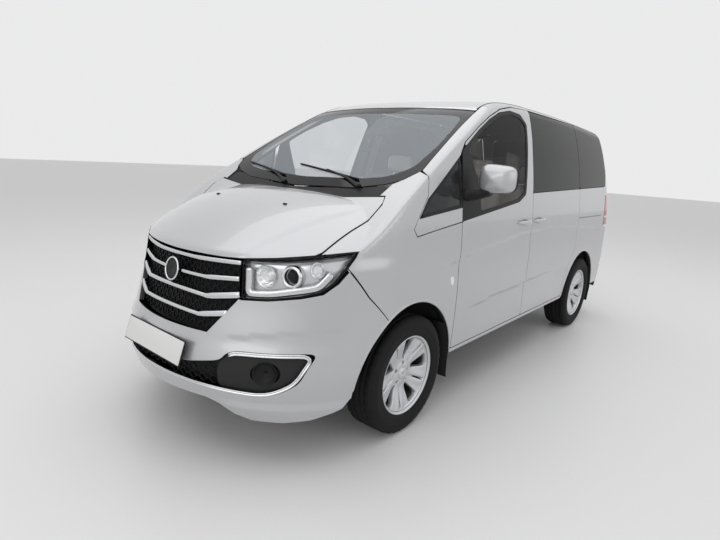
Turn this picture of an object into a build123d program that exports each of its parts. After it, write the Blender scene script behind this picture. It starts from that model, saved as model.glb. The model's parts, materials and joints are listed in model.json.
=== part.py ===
"""A compact seven-seat minivan as an assembly of separate panels, glass, wheels and running gear.

Millimetres. +X is the vehicle's left, -Y its front and +Z up; the origin is on the ground, below the
middle of its length. Lengths along the vehicle are given as distances behind the front axle.
"""

import os
from math import cos, radians, sin, sqrt

from build123d import *

os.makedirs("parts", exist_ok=True)

# ---------------------------------------------------------------- driving dimensions
width = 1730.0
height = 1925.0
cowl_height = 1290.0
wheelbase = 2810.0
front_overhang = 1015.0
rear_overhang = 820.0
wheel_inset = 115.0
tyre_radius = 331.0
tyre_width = 205.0
tyre_sidewall = 111.0
rim_width = 180.0
shut_gap = 5.0
door_wall = 55.0
door_skin = 22.0
door_flange = 18.0
roof_wall = 40.0
bonnet_wall = 22.0
glass_depth = 7.0
glass_thickness = 5.0
seat_gap = 0.3
running_clearance = 0.05
door_swing_room = 4.6
bonnet_swing_room = 10.0
lamp_swing_room = 18.5
fixed_seam = 1.0

length = front_overhang + wheelbase + rear_overhang
front_axle_y = front_overhang - length / 2
half_width = width / 2
tail_y = wheelbase + rear_overhang
axle_height = tyre_radius
wheel_x = half_width - wheel_inset
rim_radius = tyre_radius - tyre_sidewall
# how far the outlines below are stretched, upwards above the cowl and sideways
rise = (height - cowl_height) / 635.0
spread = half_width / 865.0

# ---------------------------------------------------------------- body lines
sill_bottom = 356.0
sill_top = 385.0
belt_front = 1150.0
door_front = 416.0
door_rear = 1452.0
door_waist_rear = 1480.0
door_rear_top = 1535.0
door_top = 1880.0
slider_rear = wheelbase - 280.0
roof_edge = half_width - 225.0
seam_x = half_width - 165.0
bonnet_lip = 985.0
tailgate_front = tail_y - 225.0
tailgate_half_width = half_width - 235.0
tailgate_bottom = 560.0
bumper_front = tail_y - 210.0
lamp_start = tail_y - 299.0
plate_hole_radius = 3.0
plate_hole_spacing = 440.0
plate_height = 800.0
arch_radius = tyre_radius + 101.0
arch_lead = 25.0
arch_height = axle_height - 9.0
rear_arch_radius = tyre_radius + 105.0
rear_arch_lead = 15.0
rear_arch_height = arch_height - 12.0
corner_width = 260.0
corner_depth = 200.0
rear_taper = 14.0
outside = half_width + 60.0
side_start = half_width - 305.0
arch_start = half_width - 345.0
far_ahead = -front_overhang - 185.0
far_behind = tail_y + 270.0
below_top = cowl_height - 290.0
above_top = height + 175.0

# height, inset of the side, setback of the nose, depth of the nose's curve, setback of the tail
body_stations = (
    (190.0, 27.0, 95.0, 640.0, 70.0),
    (330.0, 13.0, 32.0, 690.0, 28.0),
    (480.0, 4.0, 2.2, 720.0, 6.0),
    (640.0, 0.0, 50.0, 700.0, 0.0),
    (800.0, 0.0, 103.0, 660.0, 4.0),
    (950.0, 1.0, 135.0, 620.0, 14.0),
    (1100.0, 8.0, 155.0, 600.0, 30.0),
    (1300.0, 30.0, 180.0, 590.0, 60.0),
    (1500.0, 65.0, 210.0, 580.0, 100.0),
    (1700.0, 112.0, 240.0, 570.0, 150.0),
    (1850.0, 163.0, 265.0, 560.0, 196.0),
    (1960.0, 208.0, 285.0, 550.0, 235.0),
)


def bonnet_height(x, y):
    """Height of the bonnet and wing tops; y is behind the front axle."""
    fall = 305.0 * (max(100.0 - y, 0.0) / 1000.0) ** 2.53
    side_fall = max(54.0 - 0.165 * (y + 129.0), 20.0)
    shoulder = max(abs(x) - seam_x, 0.0) ** 2 / 560.0
    return cowl_height - fall - side_fall * (abs(x) / seam_x) ** 2.5 - shoulder


def screen_height(x, y):
    """Height of the windscreen and the pillars beside it."""
    run = y + 130.0
    bow = 20.0 * (1.0 - ((run - 415.0) / 415.0) ** 2)
    return cowl_height - 10.0 + rise * 0.66 * run + rise * bow - (8.4 + 0.083 * y) * (x / seam_x) ** 2


def roof_height(x, y):
    """Height of the roof, crowned both ways."""
    crest = 1500.0
    if y < crest:
        fall = 85.0 * ((crest - y) / 800.0) ** 2.2
    else:
        fall = 60.0 * ((y - crest) / (tail_y - 1730.0)) ** 2
    return height - fall - 18.0 * (x / (650.0 * spread)) ** 2


# ---------------------------------------------------------------- helpers
def raised(z):
    """A height as drawn, stretched with the roof if it is above the cowl."""
    return z if z <= cowl_height else cowl_height + rise * (z - cowl_height)


def with_roof(*points):
    """An outline seen from the side, stretched with the roof."""
    return tuple((y, raised(z)) for y, z in points)


def with_width(*points):
    """An outline seen from above or from an end, stretched with the width."""
    return tuple((spread * x, other) for x, other in points)


def save(part, name):
    part.label = name
    export_step(part, f"parts/{name}.step")


def mirrored(part):
    with BuildPart() as other:
        mirror(part, about=Plane.YZ)
    return other.part


def both_sides(part):
    with BuildPart() as pair:
        add(part)
        mirror(part, about=Plane.YZ)
    return pair.part


def box(x_range, y_range, z_range):
    """A box between two values on each axis, with y behind the front axle."""
    with BuildPart() as block:
        centre = [(low + high) / 2 for low, high in (x_range, y_range, z_range)]
        with Locations((centre[0], front_axle_y + centre[1], centre[2])):
            Box(*(high - low for low, high in (x_range, y_range, z_range)))
    return block.part


def side_prism(points, x_from, x_to, grow=0.0, rounding=0.0):
    """A prism across the vehicle from an outline seen from the side."""
    with BuildPart() as prism:
        with BuildSketch(Plane.YZ.offset(x_from)) as outline:
            with BuildLine():
                Polyline([(front_axle_y + y, z) for y, z in points], close=True)
            make_face()
            if rounding:
                fillet(outline.vertices(), rounding)
            if grow:
                offset(amount=grow, kind=Kind.INTERSECTION)
        extrude(amount=x_to - x_from)
    return prism.part


def top_prism(points, z_from, z_to, grow=0.0):
    """A prism standing on an outline seen from above, drawn for the left half and mirrored."""
    full = list(points) + [(-x, y) for x, y in reversed(points) if x > 0]
    with BuildPart() as prism:
        with BuildSketch(Plane.XY.offset(z_from)):
            with BuildLine():
                Polyline([(x, front_axle_y + y) for x, y in full], close=True)
            make_face()
            if grow:
                offset(amount=grow, kind=Kind.INTERSECTION)
        extrude(amount=z_to - z_from)
    return prism.part


def front_prism(points, y_from, y_to, grow=0.0, rounding=0.0):
    """A prism along the vehicle from an outline seen from the front, (x, z)."""
    with BuildPart() as prism:
        with BuildSketch(Plane.XZ.offset(-(front_axle_y + y_from))) as outline:
            with BuildLine():
                Polyline(list(points), close=True)
            make_face()
            if rounding:
                fillet(outline.vertices(), rounding)
            if grow:
                offset(amount=grow, kind=Kind.INTERSECTION)
        extrude(amount=-(y_to - y_from))
    return prism.part


def tube_across(radius, y, z, x_from, x_to):
    with BuildPart() as tube:
        with BuildSketch(Plane.YZ.offset(x_from)):
            with Locations((front_axle_y + y, z)):
                Circle(radius)
        extrude(amount=x_to - x_from)
    return tube.part


def rod_along(radius, x, z, y_from, y_to):
    with BuildPart() as rod:
        with BuildSketch(Plane.XZ.offset(-(front_axle_y + y_from))):
            with Locations((x, z)):
                Circle(radius)
        extrude(amount=-(y_to - y_from))
    return rod.part


def upright(radius, x, y, z_from, z_to):
    with BuildPart() as post:
        with BuildSketch(Plane.XY.offset(z_from)):
            with Locations((x, front_axle_y + y)):
                Circle(radius)
        extrude(amount=z_to - z_from)
    return post.part


def cut_panel(blank, keep=(), cuts=(), joins=()):
    """A blank kept only inside each solid of keep, less cuts, with joins added."""
    with BuildPart() as panel:
        add(blank)
        for solid in keep:
            add(solid, mode=Mode.INTERSECT)
        for solid in cuts:
            add(solid, mode=Mode.SUBTRACT)
        for solid in joins:
            add(solid)
    return panel.part


# ---------------------------------------------------------------- body shape
def waist(inset):
    """The body without its top: plan outlines lofted upwards, moved inwards by inset."""
    with BuildPart() as solid:
        for drawn_level, side_inset, nose_setback, nose_depth, tail_setback in body_stations:
            level = raised(drawn_level)
            half = half_width - side_inset - inset
            nose = front_axle_y - front_overhang + nose_setback + inset
            tail = front_axle_y + tail_y - tail_setback - inset
            back_half = half - rear_taper
            turn_x = back_half - corner_width
            turn_y = tail - corner_depth
            with BuildSketch(Plane.XY.offset(level)):
                with BuildLine():
                    EllipticalCenterArc(
                        (0, nose + nose_depth), half, nose_depth, start_angle=180, arc_size=180)
                    Line((half, nose + nose_depth), (back_half, turn_y))
                    EllipticalCenterArc((turn_x, turn_y), corner_width, corner_depth, arc_size=90)
                    Line((turn_x, tail), (-turn_x, tail))
                    EllipticalCenterArc(
                        (-turn_x, turn_y), corner_width, corner_depth, start_angle=90, arc_size=90)
                    Line((-back_half, turn_y), (-half, nose + nose_depth))
                make_face()
        loft()
    return solid.part


def height_field(height_at, y_from, y_to, rows, drop, upwards=False):
    """Everything under a height field lowered by drop, or everything above it."""
    columns = 25
    grid = []
    for row in range(rows):
        y = y_from + (y_to - y_from) * row / (rows - 1)
        across = [outside * (2 * column / (columns - 1) - 1) for column in range(columns)]
        grid.append([Vector(x, front_axle_y + y, height_at(x, y) - drop) for x in across])
    surface = Face.make_surface_from_array_of_points(grid, tol=0.1)
    with BuildPart() as solid:
        extrude(surface, amount=3000.0, dir=(0, 0, 1 if upwards else -1))
    return solid.part


def body(inset, top_drop, bonnet_drop):
    """The closed outer shape of the whole body, or an inner one when it is inset."""
    cabin = cut_panel(
        height_field(roof_height, -400.0, far_behind, 41, top_drop),
        cuts=[height_field(screen_height, -500.0, 1200.0, 21, top_drop, upwards=True)],
    )
    top = cut_panel(height_field(bonnet_height, -1300.0, 700.0, 31, bonnet_drop), joins=[cabin])
    return cut_panel(waist(inset), keep=[top])


outer = body(0.0, 0.0, 0.0)
cabin_core = body(door_wall, roof_wall, bonnet_wall)
thick_wall = cut_panel(outer, cuts=[cabin_core])
skin_core = body(door_skin, door_skin, door_skin)
thin_wall = cut_panel(outer, cuts=[skin_core])
inner_wall = cut_panel(thick_wall, keep=[skin_core])
pane_outer = body(glass_depth, glass_depth, glass_depth)
pane_core = body(*[glass_depth + glass_thickness] * 3)
pane_wall = cut_panel(pane_outer, cuts=[pane_core])

# ---------------------------------------------------------------- outlines seen from the side
door_outline = with_roof(
    (door_front, sill_top), (door_front, 1290.0), (442.0, 1560.0), (485.0, 1592.0), (676.0, 1694.0),
    (854.0, 1772.0), (1037.0, 1834.0), (1228.0, 1868.0), (door_rear_top, door_top),
    (door_waist_rear, 1602.0), (door_rear, 1296.0), (door_rear, sill_top),
)
door_window = with_roof(
    (480.0, 1178.0), (895.0, 1222.0), (1206.0, 1258.0), (1310.0, 1300.0), (1352.0, 1493.0), (1408.0, 1765.0),
    (1340.0, 1812.0), (1189.0, 1822.0), (1010.0, 1792.0), (848.0, 1736.0), (675.0, 1655.0), (488.0, 1545.0),
)
quarter_window = with_roof((-32.0, 1183.0), (60.0, 1290.0), (396.0, 1510.0), (396.0, 1225.0))
# the front door leans inwards, so its rear edge sweeps further back the higher it is
slider_front = door_rear + shut_gap + 0.25 * door_swing_room
slider_outline = with_roof(
    (slider_front, sill_top), (slider_front, 1296.0),
    (door_waist_rear + shut_gap + 0.6 * door_swing_room, 1602.0),
    (door_rear_top + shut_gap + door_swing_room, door_top), (slider_rear, door_top - 14.0),
    (slider_rear, 800.0), (slider_rear - 130.0, 640.0), (slider_rear - 195.0, 480.0),
    (slider_rear - 205.0, sill_top),
)
slider_window = with_roof(
    (1500.0, 1312.0), (1530.0, 1602.0), (1580.0, 1862.0), (slider_rear - 30.0, 1850.0),
    (slider_rear - 30.0, 1324.0),
)
rear_window = with_roof(
    (slider_rear + 30.0, 1326.0), (slider_rear + 30.0, 1848.0), (tail_y - 280.0, 1812.0),
    (tail_y - 258.0, 1600.0), (tail_y - 300.0, 1334.0),
)
wing_outline = with_roof(
    (-640.0, 1480.0), (-640.0, 1050.0), (-487.0, 1050.0), (-487.0, 979.0), (-381.0, 837.0), (-240.0, 700.0),
    (-240.0, sill_bottom), (door_front - shut_gap, sill_bottom), (door_front - shut_gap, belt_front),
    (-45.0, 1099.0),
    (-73.0, 1136.0), (-32.0, 1183.0), (60.0, 1290.0), (20.0, 1480.0),
)
bonnet_outline = with_width(
    (0.0, -876.0), (250.0, -860.0), (430.0, -806.0), (560.0, -735.0), (690.0, -575.0), (702.0, -385.0),
    (712.0, -180.0), (690.0, -125.0), (350.0, -170.0), (0.0, -190.0),
)
screen_outline = with_width(
    (0.0, -112.0), (450.0, -85.0), (620.0, -40.0), (756.0, 95.0), (672.0, 765.0), (350.0, 712.0), (0.0, 694.0),
)
cowl_outline = with_width(
    (0.0, -184.0), (350.0, -164.0), (650.0, -119.0), (640.0, -60.0), (618.0, -44.0), (450.0, -89.0),
    (0.0, -116.0),
)
bumper_outline = (
    (-front_overhang - 85.0, 262.0), (-front_overhang - 85.0, 980.0), (-491.0, 1050.0), (-491.0, 977.0),
    (-385.0, 835.0), (-244.0, 698.0), (-300.0, 400.0), (-455.0, 363.0), (-500.0, 314.0), (-640.0, 270.0),
)
headlamp_outline = with_width(
    (428.0, 976.0), (447.0, 818.0), (560.0, 826.0), (742.0, 869.0), (801.0, 1052.0), (690.0, 1026.0),
    (560.0, 990.0),
)
grille_outline = with_width(
    (-420.0, 976.0), (-438.0, 820.0), (-330.0, 653.0), (330.0, 653.0), (438.0, 820.0), (420.0, 976.0),
)
mouth_outline = with_width(
    (-640.0, 560.0), (-700.0, 540.0), (-640.0, 420.0), (-480.0, 392.0), (480.0, 392.0),
    (640.0, 420.0), (700.0, 540.0), (640.0, 560.0), (300.0, 500.0), (-300.0, 500.0),
)
tail_lamp_outline = (
    (tailgate_half_width + 18.0, 930.0), (half_width + 35.0, 960.0), (half_width + 35.0, 1262.0),
    (tailgate_half_width + 18.0, 1285.0),
)
tailgate_window = with_width(
    (-545.0, 1290.0), (545.0, 1290.0), (500.0, raised(1765.0)), (-500.0, raised(1765.0)),
)
front_arch = tube_across(arch_radius, -arch_lead, arch_height, arch_start, outside)
rear_arch = tube_across(rear_arch_radius, wheelbase - rear_arch_lead, rear_arch_height, arch_start, outside)
front_arches = both_sides(front_arch)
door_hole = side_prism(door_outline, roof_edge - 2.0 - shut_gap, outside, grow=shut_gap)


# ---------------------------------------------------------------- front doors
# what stands on the sill or the rear bumper stops a seat gap above it
resting_on_sill = (sill_top - shut_gap + seat_gap, sill_top + 1.0)
resting_on_bumper = (tailgate_bottom - shut_gap + seat_gap, tailgate_bottom + 1.0)
glass_rounding = 18.0


def front_door():
    """A front door: an outer skin with a flange all round, over a narrower inner box."""
    skin = cut_panel(thin_wall, keep=[side_prism(door_outline, roof_edge + 3.0, outside)])
    casing = cut_panel(inner_wall, keep=[side_prism(door_outline, roof_edge + 3.0, outside, grow=-door_flange)])
    window = side_prism(door_window, side_start, outside, rounding=glass_rounding)
    sill_rest = box((half_width - 28.0, half_width - 16.0), (900.0, 960.0), resting_on_sill)
    return cut_panel(skin, joins=[casing, sill_rest], cuts=[window, front_arch])


def door_glass():
    opening = side_prism(door_window, side_start, outside, grow=-seat_gap, rounding=glass_rounding)
    return cut_panel(pane_wall, keep=[opening])


def mirror_head():
    """A door mirror: a rounded head on a short foot that stands on the door's front corner."""
    with BuildPart() as head:
        with Locations((half_width + 110.0, front_axle_y + 540.0, 1400.0)):
            Box(205.0, 110.0, 155.0)
        fillet(head.edges(), 34.0)
    foot = box((half_width - 65.0, half_width + 35.0), (470.0, 530.0), (1290.0, 1330.0))
    return cut_panel(head.part, joins=[cut_panel(foot, cuts=[outer])])


front_door_left = front_door()
save(front_door_left, "front_door_left")
save(mirrored(front_door_left), "front_door_right")
door_glass_left = door_glass()
save(door_glass_left, "door_glass_left")
save(mirrored(door_glass_left), "door_glass_right")
mirror_left = mirror_head()
save(mirror_left, "door_mirror_left")
save(mirrored(mirror_left), "door_mirror_right")


# ---------------------------------------------------------------- sliding doors and body sides
def sliding_door():
    blank = cut_panel(thick_wall, keep=[side_prism(slider_outline, roof_edge + 1.0, outside)])
    rollers = [box((half_width - 45.0, half_width - 20.0), (y, y + 50.0), resting_on_sill)
               for y in (1560.0, slider_rear - 350.0)]
    window = side_prism(slider_window, side_start, outside, rounding=15.0)
    return cut_panel(blank, joins=rollers, cuts=[window, rear_arch])


def body_side():
    """Pillars, cant rail, sill and rear quarter of one side, round the door openings."""
    front_edge = ((-60.0, 1095.0), (far_behind, 1095.0), (far_behind, above_top), (-60.0, above_top))
    lower = box((roof_edge, outside), (door_front - shut_gap, far_behind), (sill_bottom, 1120.0))
    upper = side_prism(front_edge, roof_edge, outside)
    region = cut_panel(lower, joins=[upper])
    blank = cut_panel(thick_wall, keep=[region])
    return cut_panel(blank, cuts=[
        side_prism(wing_outline, side_start, outside, grow=fixed_seam),
        door_hole,
        side_prism(slider_outline, side_start, outside, grow=shut_gap),
        side_prism(quarter_window, side_start, outside),
        side_prism(rear_window, side_start, outside, rounding=20.0),
        top_prism(screen_outline, below_top, above_top),
        top_prism(cowl_outline, below_top, above_top, grow=fixed_seam),
        rear_arch,
        front_prism(tail_lamp_outline, lamp_start - fixed_seam, far_behind, grow=fixed_seam),
        box((0.0, outside), (bumper_front, far_behind), (0.0, tailgate_bottom - shut_gap + seat_gap)),
    ])


slider_left = sliding_door()
save(slider_left, "sliding_door_left")
save(mirrored(slider_left), "sliding_door_right")
body_side_left = body_side()
save(body_side_left, "body_side_left")
save(mirrored(body_side_left), "body_side_right")

quarter_opening = side_prism(quarter_window, side_start, outside, grow=-seat_gap)
slider_opening = side_prism(slider_window, side_start, outside, grow=-seat_gap, rounding=15.0)
rear_opening = side_prism(rear_window, side_start, outside, grow=-seat_gap, rounding=20.0)
side_panes = cut_panel(
    cut_panel(pane_wall, keep=[quarter_opening]),
    joins=[
        cut_panel(pane_wall, keep=[slider_opening]),
        cut_panel(pane_wall, keep=[rear_opening]),
    ],
)
save(both_sides(side_panes), "side_glass")

# ---------------------------------------------------------------- roof, screen, bonnet and wings
screen_hole = top_prism(screen_outline, below_top, above_top)
roof_region = box((-roof_edge + fixed_seam, roof_edge - fixed_seam), (300.0, tailgate_front - shut_gap),
                  (height - 225.0, above_top))
roof = cut_panel(thick_wall, keep=[roof_region], cuts=[screen_hole, both_sides(door_hole)])
save(roof, "roof")
windscreen = cut_panel(pane_wall, keep=[top_prism(screen_outline, below_top, above_top, grow=-seat_gap)])
save(windscreen, "windscreen")
bonnet_region = top_prism(bonnet_outline, bonnet_lip, 1400.0)
bonnet = cut_panel(thin_wall, keep=[bonnet_region])
save(bonnet, "bonnet")
cowl = cut_panel(thin_wall, keep=[top_prism(cowl_outline, 1100.0, 1400.0)])
save(cowl, "cowl")
headlamp_block = front_prism(headlamp_outline, far_ahead, -380.0)
headlamp_hole = front_prism(headlamp_outline, far_ahead, -300.0, grow=fixed_seam)
wing_left = cut_panel(
    cut_panel(thin_wall, keep=[side_prism(wing_outline, side_start, outside)]),
    cuts=[
        top_prism(bonnet_outline, 600.0, 1600.0, grow=bonnet_swing_room),
        top_prism(cowl_outline, below_top, above_top, grow=fixed_seam),
        headlamp_hole,
        top_prism(screen_outline, below_top, above_top),
        front_arch,
    ],
)
save(both_sides(wing_left), "front_wings")

# ---------------------------------------------------------------- nose
def largest(part):
    """The largest solid of a part."""
    with BuildPart() as piece:
        add(part.solids().sort_by(SortBy.VOLUME)[-1])
    return piece.part


bumper = cut_panel(
    cut_panel(thin_wall, keep=[side_prism(bumper_outline, -outside, outside)]),
    cuts=[
        both_sides(headlamp_hole),
        front_prism(grille_outline, far_ahead, -600.0, grow=fixed_seam / 2),
        front_prism(mouth_outline, far_ahead, -500.0, grow=fixed_seam / 2),
        front_arches,
        top_prism(bonnet_outline, bonnet_lip - shut_gap, 1400.0, grow=shut_gap),
    ],
)
save(largest(bumper), "front_bumper")
grille = cut_panel(inner_wall, keep=[front_prism(grille_outline, far_ahead, -600.0)])
save(grille, "grille")
mouth = cut_panel(inner_wall, keep=[front_prism(mouth_outline, far_ahead, -500.0)])
save(mouth, "lower_grille")
headlamps = cut_panel(thick_wall, keep=[headlamp_block], cuts=[
    top_prism(bonnet_outline, bonnet_lip - shut_gap, 1400.0, grow=lamp_swing_room),
])
save(both_sides(headlamps), "headlamps")

# ---------------------------------------------------------------- tail
tail_lamp = cut_panel(thick_wall, keep=[front_prism(tail_lamp_outline, lamp_start, far_behind)])
save(both_sides(tail_lamp), "tail_lamps")
tailgate_region = box((-tailgate_half_width, tailgate_half_width), (tailgate_front, far_behind),
                      (tailgate_bottom, above_top))
tailgate_hole = front_prism(tailgate_window, tailgate_front, far_behind, rounding=40.0)
plate_holes = both_sides(
    rod_along(plate_hole_radius, plate_hole_spacing / 2, plate_height, tail_y - 130.0, far_behind),
)
latch = box((-45.0, 45.0), (tail_y - 20.0, tail_y - 6.0), resting_on_bumper)
tailgate = cut_panel(
    cut_panel(thick_wall, keep=[tailgate_region], cuts=[tailgate_hole, plate_holes]),
    joins=[latch],
)
save(tailgate, "tailgate")
tailgate_glass = cut_panel(pane_wall, keep=[
    front_prism(tailgate_window, tailgate_front, far_behind, grow=-seat_gap, rounding=40.0),
])
save(tailgate_glass, "tailgate_glass")
rear_bumper = cut_panel(thin_wall, keep=[
    box((-outside, outside), (bumper_front + seat_gap, far_behind), (300.0, tailgate_bottom - shut_gap)),
])
save(rear_bumper, "rear_bumper")


# ---------------------------------------------------------------- wheels and tyres
hub_radius = 72.0
hub_inner = wheel_x - 40.0
hub_outer = wheel_x + 58.0
spindle_radius = 30.0
disc_radius = rim_radius - 74.0
spoke_pairs = 5
spoke_end = rim_radius - 22.0
bead_seat = rim_radius - 15.0


def revolved_about_axle(points):
    """A ring about the left front wheel's axle, from (x, radius) points."""
    axle = Axis((0, front_axle_y, axle_height), (1, 0, 0))
    with BuildPart() as ring:
        with BuildSketch(Plane(origin=(0, front_axle_y, axle_height), x_dir=(1, 0, 0), z_dir=(0, -1, 0))):
            with BuildLine():
                Polyline(list(points), close=True)
            make_face()
        revolve(axis=axle)
    return ring.part


def rim():
    """A cast wheel with paired spokes, and the brake disc and hub bolted to it."""
    edge = rim_width / 2
    barrel = [(wheel_x + x, radius) for x, radius in (
        (-edge, rim_radius), (-edge + 6, rim_radius), (-edge + 10, bead_seat), (-60.0, rim_radius - 20),
        (-20.0, rim_radius - 34), (20.0, rim_radius - 34), (60.0, rim_radius - 20), (edge - 10, bead_seat),
        (edge - 6, rim_radius), (edge, rim_radius), (edge, rim_radius - 13), (edge - 6, rim_radius - 24),
        (56.0, rim_radius - 30), (22.0, rim_radius - 46), (-22.0, rim_radius - 46), (-60.0, rim_radius - 32),
        (-edge, rim_radius - 13))]
    hub = [(hub_inner, spindle_radius + running_clearance), (hub_outer, spindle_radius + running_clearance),
           (hub_outer, hub_radius), (hub_inner + 20.0, hub_radius), (hub_inner + 20.0, disc_radius),
           (hub_inner, disc_radius)]
    centre = Plane(origin=(wheel_x + 34.0, front_axle_y, axle_height), x_dir=(0, 1, 0), z_dir=(1, 0, 0))
    with BuildPart() as wheel:
        add(revolved_about_axle(barrel))
        add(revolved_about_axle(hub))
        with BuildSketch(centre):
            with PolarLocations(0.0, spoke_pairs, start_angle=90.0):
                for side in (-1, 1):
                    with BuildLine():
                        Polyline((hub_radius - 14, side * 6), (hub_radius - 14, side * 30),
                                 (spoke_end, side * 60), (spoke_end, side * 34), close=True)
                    make_face()
        extrude(amount=24.0)
    return wheel.part


def tyre():
    """A tyre, seated on its rim."""
    half = tyre_width / 2
    outside_half = (
        (70.0, tyre_radius), (88.0, tyre_radius - 11), (half - 3, tyre_radius - 36), (half, rim_radius + 50),
        (98.0, rim_radius + 20), (83.5, rim_radius + 1), (79.6, bead_seat + seat_gap))
    inside_half = (
        (66.0, rim_radius - 18.1), (72.0, rim_radius + 2), (78.0, rim_radius + 30), (70.0, tyre_radius - 31))
    right_half = outside_half + inside_half
    left_half = tuple((-x, radius) for x, radius in reversed(right_half))
    return revolved_about_axle([(wheel_x + x, radius) for x, radius in right_half + left_half])


front_left_rim = rim()
front_left_tyre = tyre()
for place, shift in (("front", 0.0), ("rear", wheelbase)):
    for kind, piece in (("rim", front_left_rim), ("tyre", front_left_tyre)):
        moved = Pos(0, shift, 0) * piece
        save(moved, f"{kind}_{place}_left")
        save(mirrored(moved), f"{kind}_{place}_right")

# ---------------------------------------------------------------- running gear
kingpin_x = wheel_x - 142.0
kingpin_radius = 12.0
knuckle_radius = 30.0
knuckle_bottom = axle_height - 81.0
knuckle_top = axle_height + 99.0
rail_x = half_width - 465.0
rail_width = 70.0
rail_bottom = axle_height + 49.0
rail_top = rail_bottom + 70.0
floor_bottom = rail_top
floor_top = floor_bottom + 28.0
spindle_end = hub_outer - 2.0
rear_spindle_start = wheel_x - 110.0
spring_x = (rail_x + 70.0, rail_x + 130.0)
spring_z = (axle_height - 59.0, axle_height - 37.0)


def knuckle():
    """A front wheel's knuckle: an upright that turns on the kingpin's two ends, and its spindle."""
    post = upright(knuckle_radius, kingpin_x, 0.0, knuckle_bottom, knuckle_top)
    spindle = tube_across(spindle_radius, 0.0, axle_height, kingpin_x, spindle_end)
    bore = kingpin_radius + running_clearance
    return cut_panel(post, joins=[spindle], cuts=[
        upright(bore, kingpin_x, 0.0, knuckle_bottom, knuckle_bottom + 45.0),
        upright(bore, kingpin_x, 0.0, knuckle_top - 45.0, knuckle_top),
    ])


def front_suspension():
    """A lower arm with its ball pin, and a strut with its lower pin, for one side."""
    arm = box((rail_x - 30.0, kingpin_x + 28.0), (-48.0, 48.0), (knuckle_bottom - 28.0, knuckle_bottom - 4.0))
    bracket = box((rail_x - 30.0, rail_x + 30.0), (-40.0, 40.0), (knuckle_bottom - 5.0, rail_bottom))
    strut = upright(26.0, kingpin_x, 0.0, knuckle_top + 4.0, arch_height + arch_radius - 2.0)
    return cut_panel(arm, joins=[
        bracket,
        upright(kingpin_radius, kingpin_x, 0.0, knuckle_bottom - 10.0, knuckle_bottom + 40.0),
        strut,
        upright(kingpin_radius, kingpin_x, 0.0, knuckle_top - 40.0, knuckle_top + 10.0),
    ])


knuckle_left = knuckle()
save(knuckle_left, "knuckle_left")
save(mirrored(knuckle_left), "knuckle_right")
suspension_left = front_suspension()
save(both_sides(suspension_left), "front_suspension")

rail_inside = rail_x - rail_width / 2
rail = box((rail_inside, rail_inside + rail_width), (-820.0, tail_y - 90.0), (rail_bottom, rail_top))
cross_members = [box((-rail_x, rail_x), (y - 30.0, y + 30.0), (rail_bottom + 10.0, rail_top - 10.0))
                 for y in (-790.0, 1000.0, wheelbase - 560.0, tail_y - 230.0)]
chassis = cut_panel(both_sides(rail), joins=cross_members)
save(chassis, "chassis_frame")

beam = tube_across(38.0, wheelbase, axle_height, -rear_spindle_start, rear_spindle_start)
spindles = tube_across(spindle_radius, wheelbase, axle_height, -spindle_end, spindle_end)
differential = upright(105.0, 0.0, wheelbase, axle_height - 96.0, rail_bottom)
springs = both_sides(box(spring_x, (wheelbase - 510.0, wheelbase + 520.0), spring_z))
hanger_x = (rail_inside, spring_x[1])
spring_hangers = [both_sides(box(hanger_x, (y - 30.0, y + 30.0), (spring_z[0], rail_bottom)))
                  for y in (wheelbase - 480.0, wheelbase + 490.0)]
rear_axle = cut_panel(beam, joins=[spindles, differential, springs] + spring_hangers)
save(rear_axle, "rear_axle")

engine = box((-rail_x + 150.0, rail_x - 150.0), (-420.0, 330.0), (rail_top + 20.0, 900.0))
engine_mounts = box((-rail_inside, rail_inside), (-60.0, 60.0), (rail_bottom, rail_top + 30.0))
gearbox = rod_along(90.0, 0.0, rail_top + 20.0, 320.0, 415.0)
engine = cut_panel(engine, joins=[engine_mounts, gearbox])
save(engine, "engine_block")
radiator = box((-rail_x + 55.0, rail_x - 55.0), (-700.0, -650.0), (rail_top, 880.0))
under_bonnet = height_field(bonnet_height, -1300.0, 700.0, 31, door_skin + seat_gap)
stop_posts = both_sides(box((285.0, 315.0), (-695.0, -665.0), (870.0, 1200.0)))
bonnet_stops = cut_panel(stop_posts, keep=[under_bonnet])
radiator = cut_panel(radiator, joins=[
    box((-rail_x, rail_x), (-700.0, -650.0), (rail_top, rail_top + 40.0)),
    bonnet_stops,
])
save(radiator, "radiator")
propshaft = rod_along(30.0, 0.0, rail_bottom - 35.0, 460.0, wheelbase - 105.0)
save(propshaft, "propeller_shaft")
exhaust_z = rail_bottom - 130.0
exhaust = rod_along(22.0, 190.0, exhaust_z, 300.0, tail_y - 130.0)
silencer = box((110.0, 330.0), (wheelbase - 910.0, wheelbase - 510.0), (exhaust_z - 22.0, exhaust_z + 80.0))
hangers = [box((184.0, 196.0), (y - 10.0, y + 10.0), (exhaust_z, rail_bottom + 10.0 - seat_gap))
           for y in (1000.0, tail_y - 230.0)]
save(cut_panel(exhaust, joins=[silencer] + hangers), "exhaust")
tank = box((-rail_x + 70.0, -80.0), (1300.0, wheelbase - 710.0), (exhaust_z, floor_bottom))
save(tank, "fuel_tank")

# ---------------------------------------------------------------- floor, bulkhead and wheel housings
liner = 8.0
bulkhead_front = 424.0
bulkhead_top = 1130.0
housing_inner_x = wheel_x - 154.0
housing_outer_x = half_width - 27.0
floor_half_width = half_width - 75.0


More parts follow.
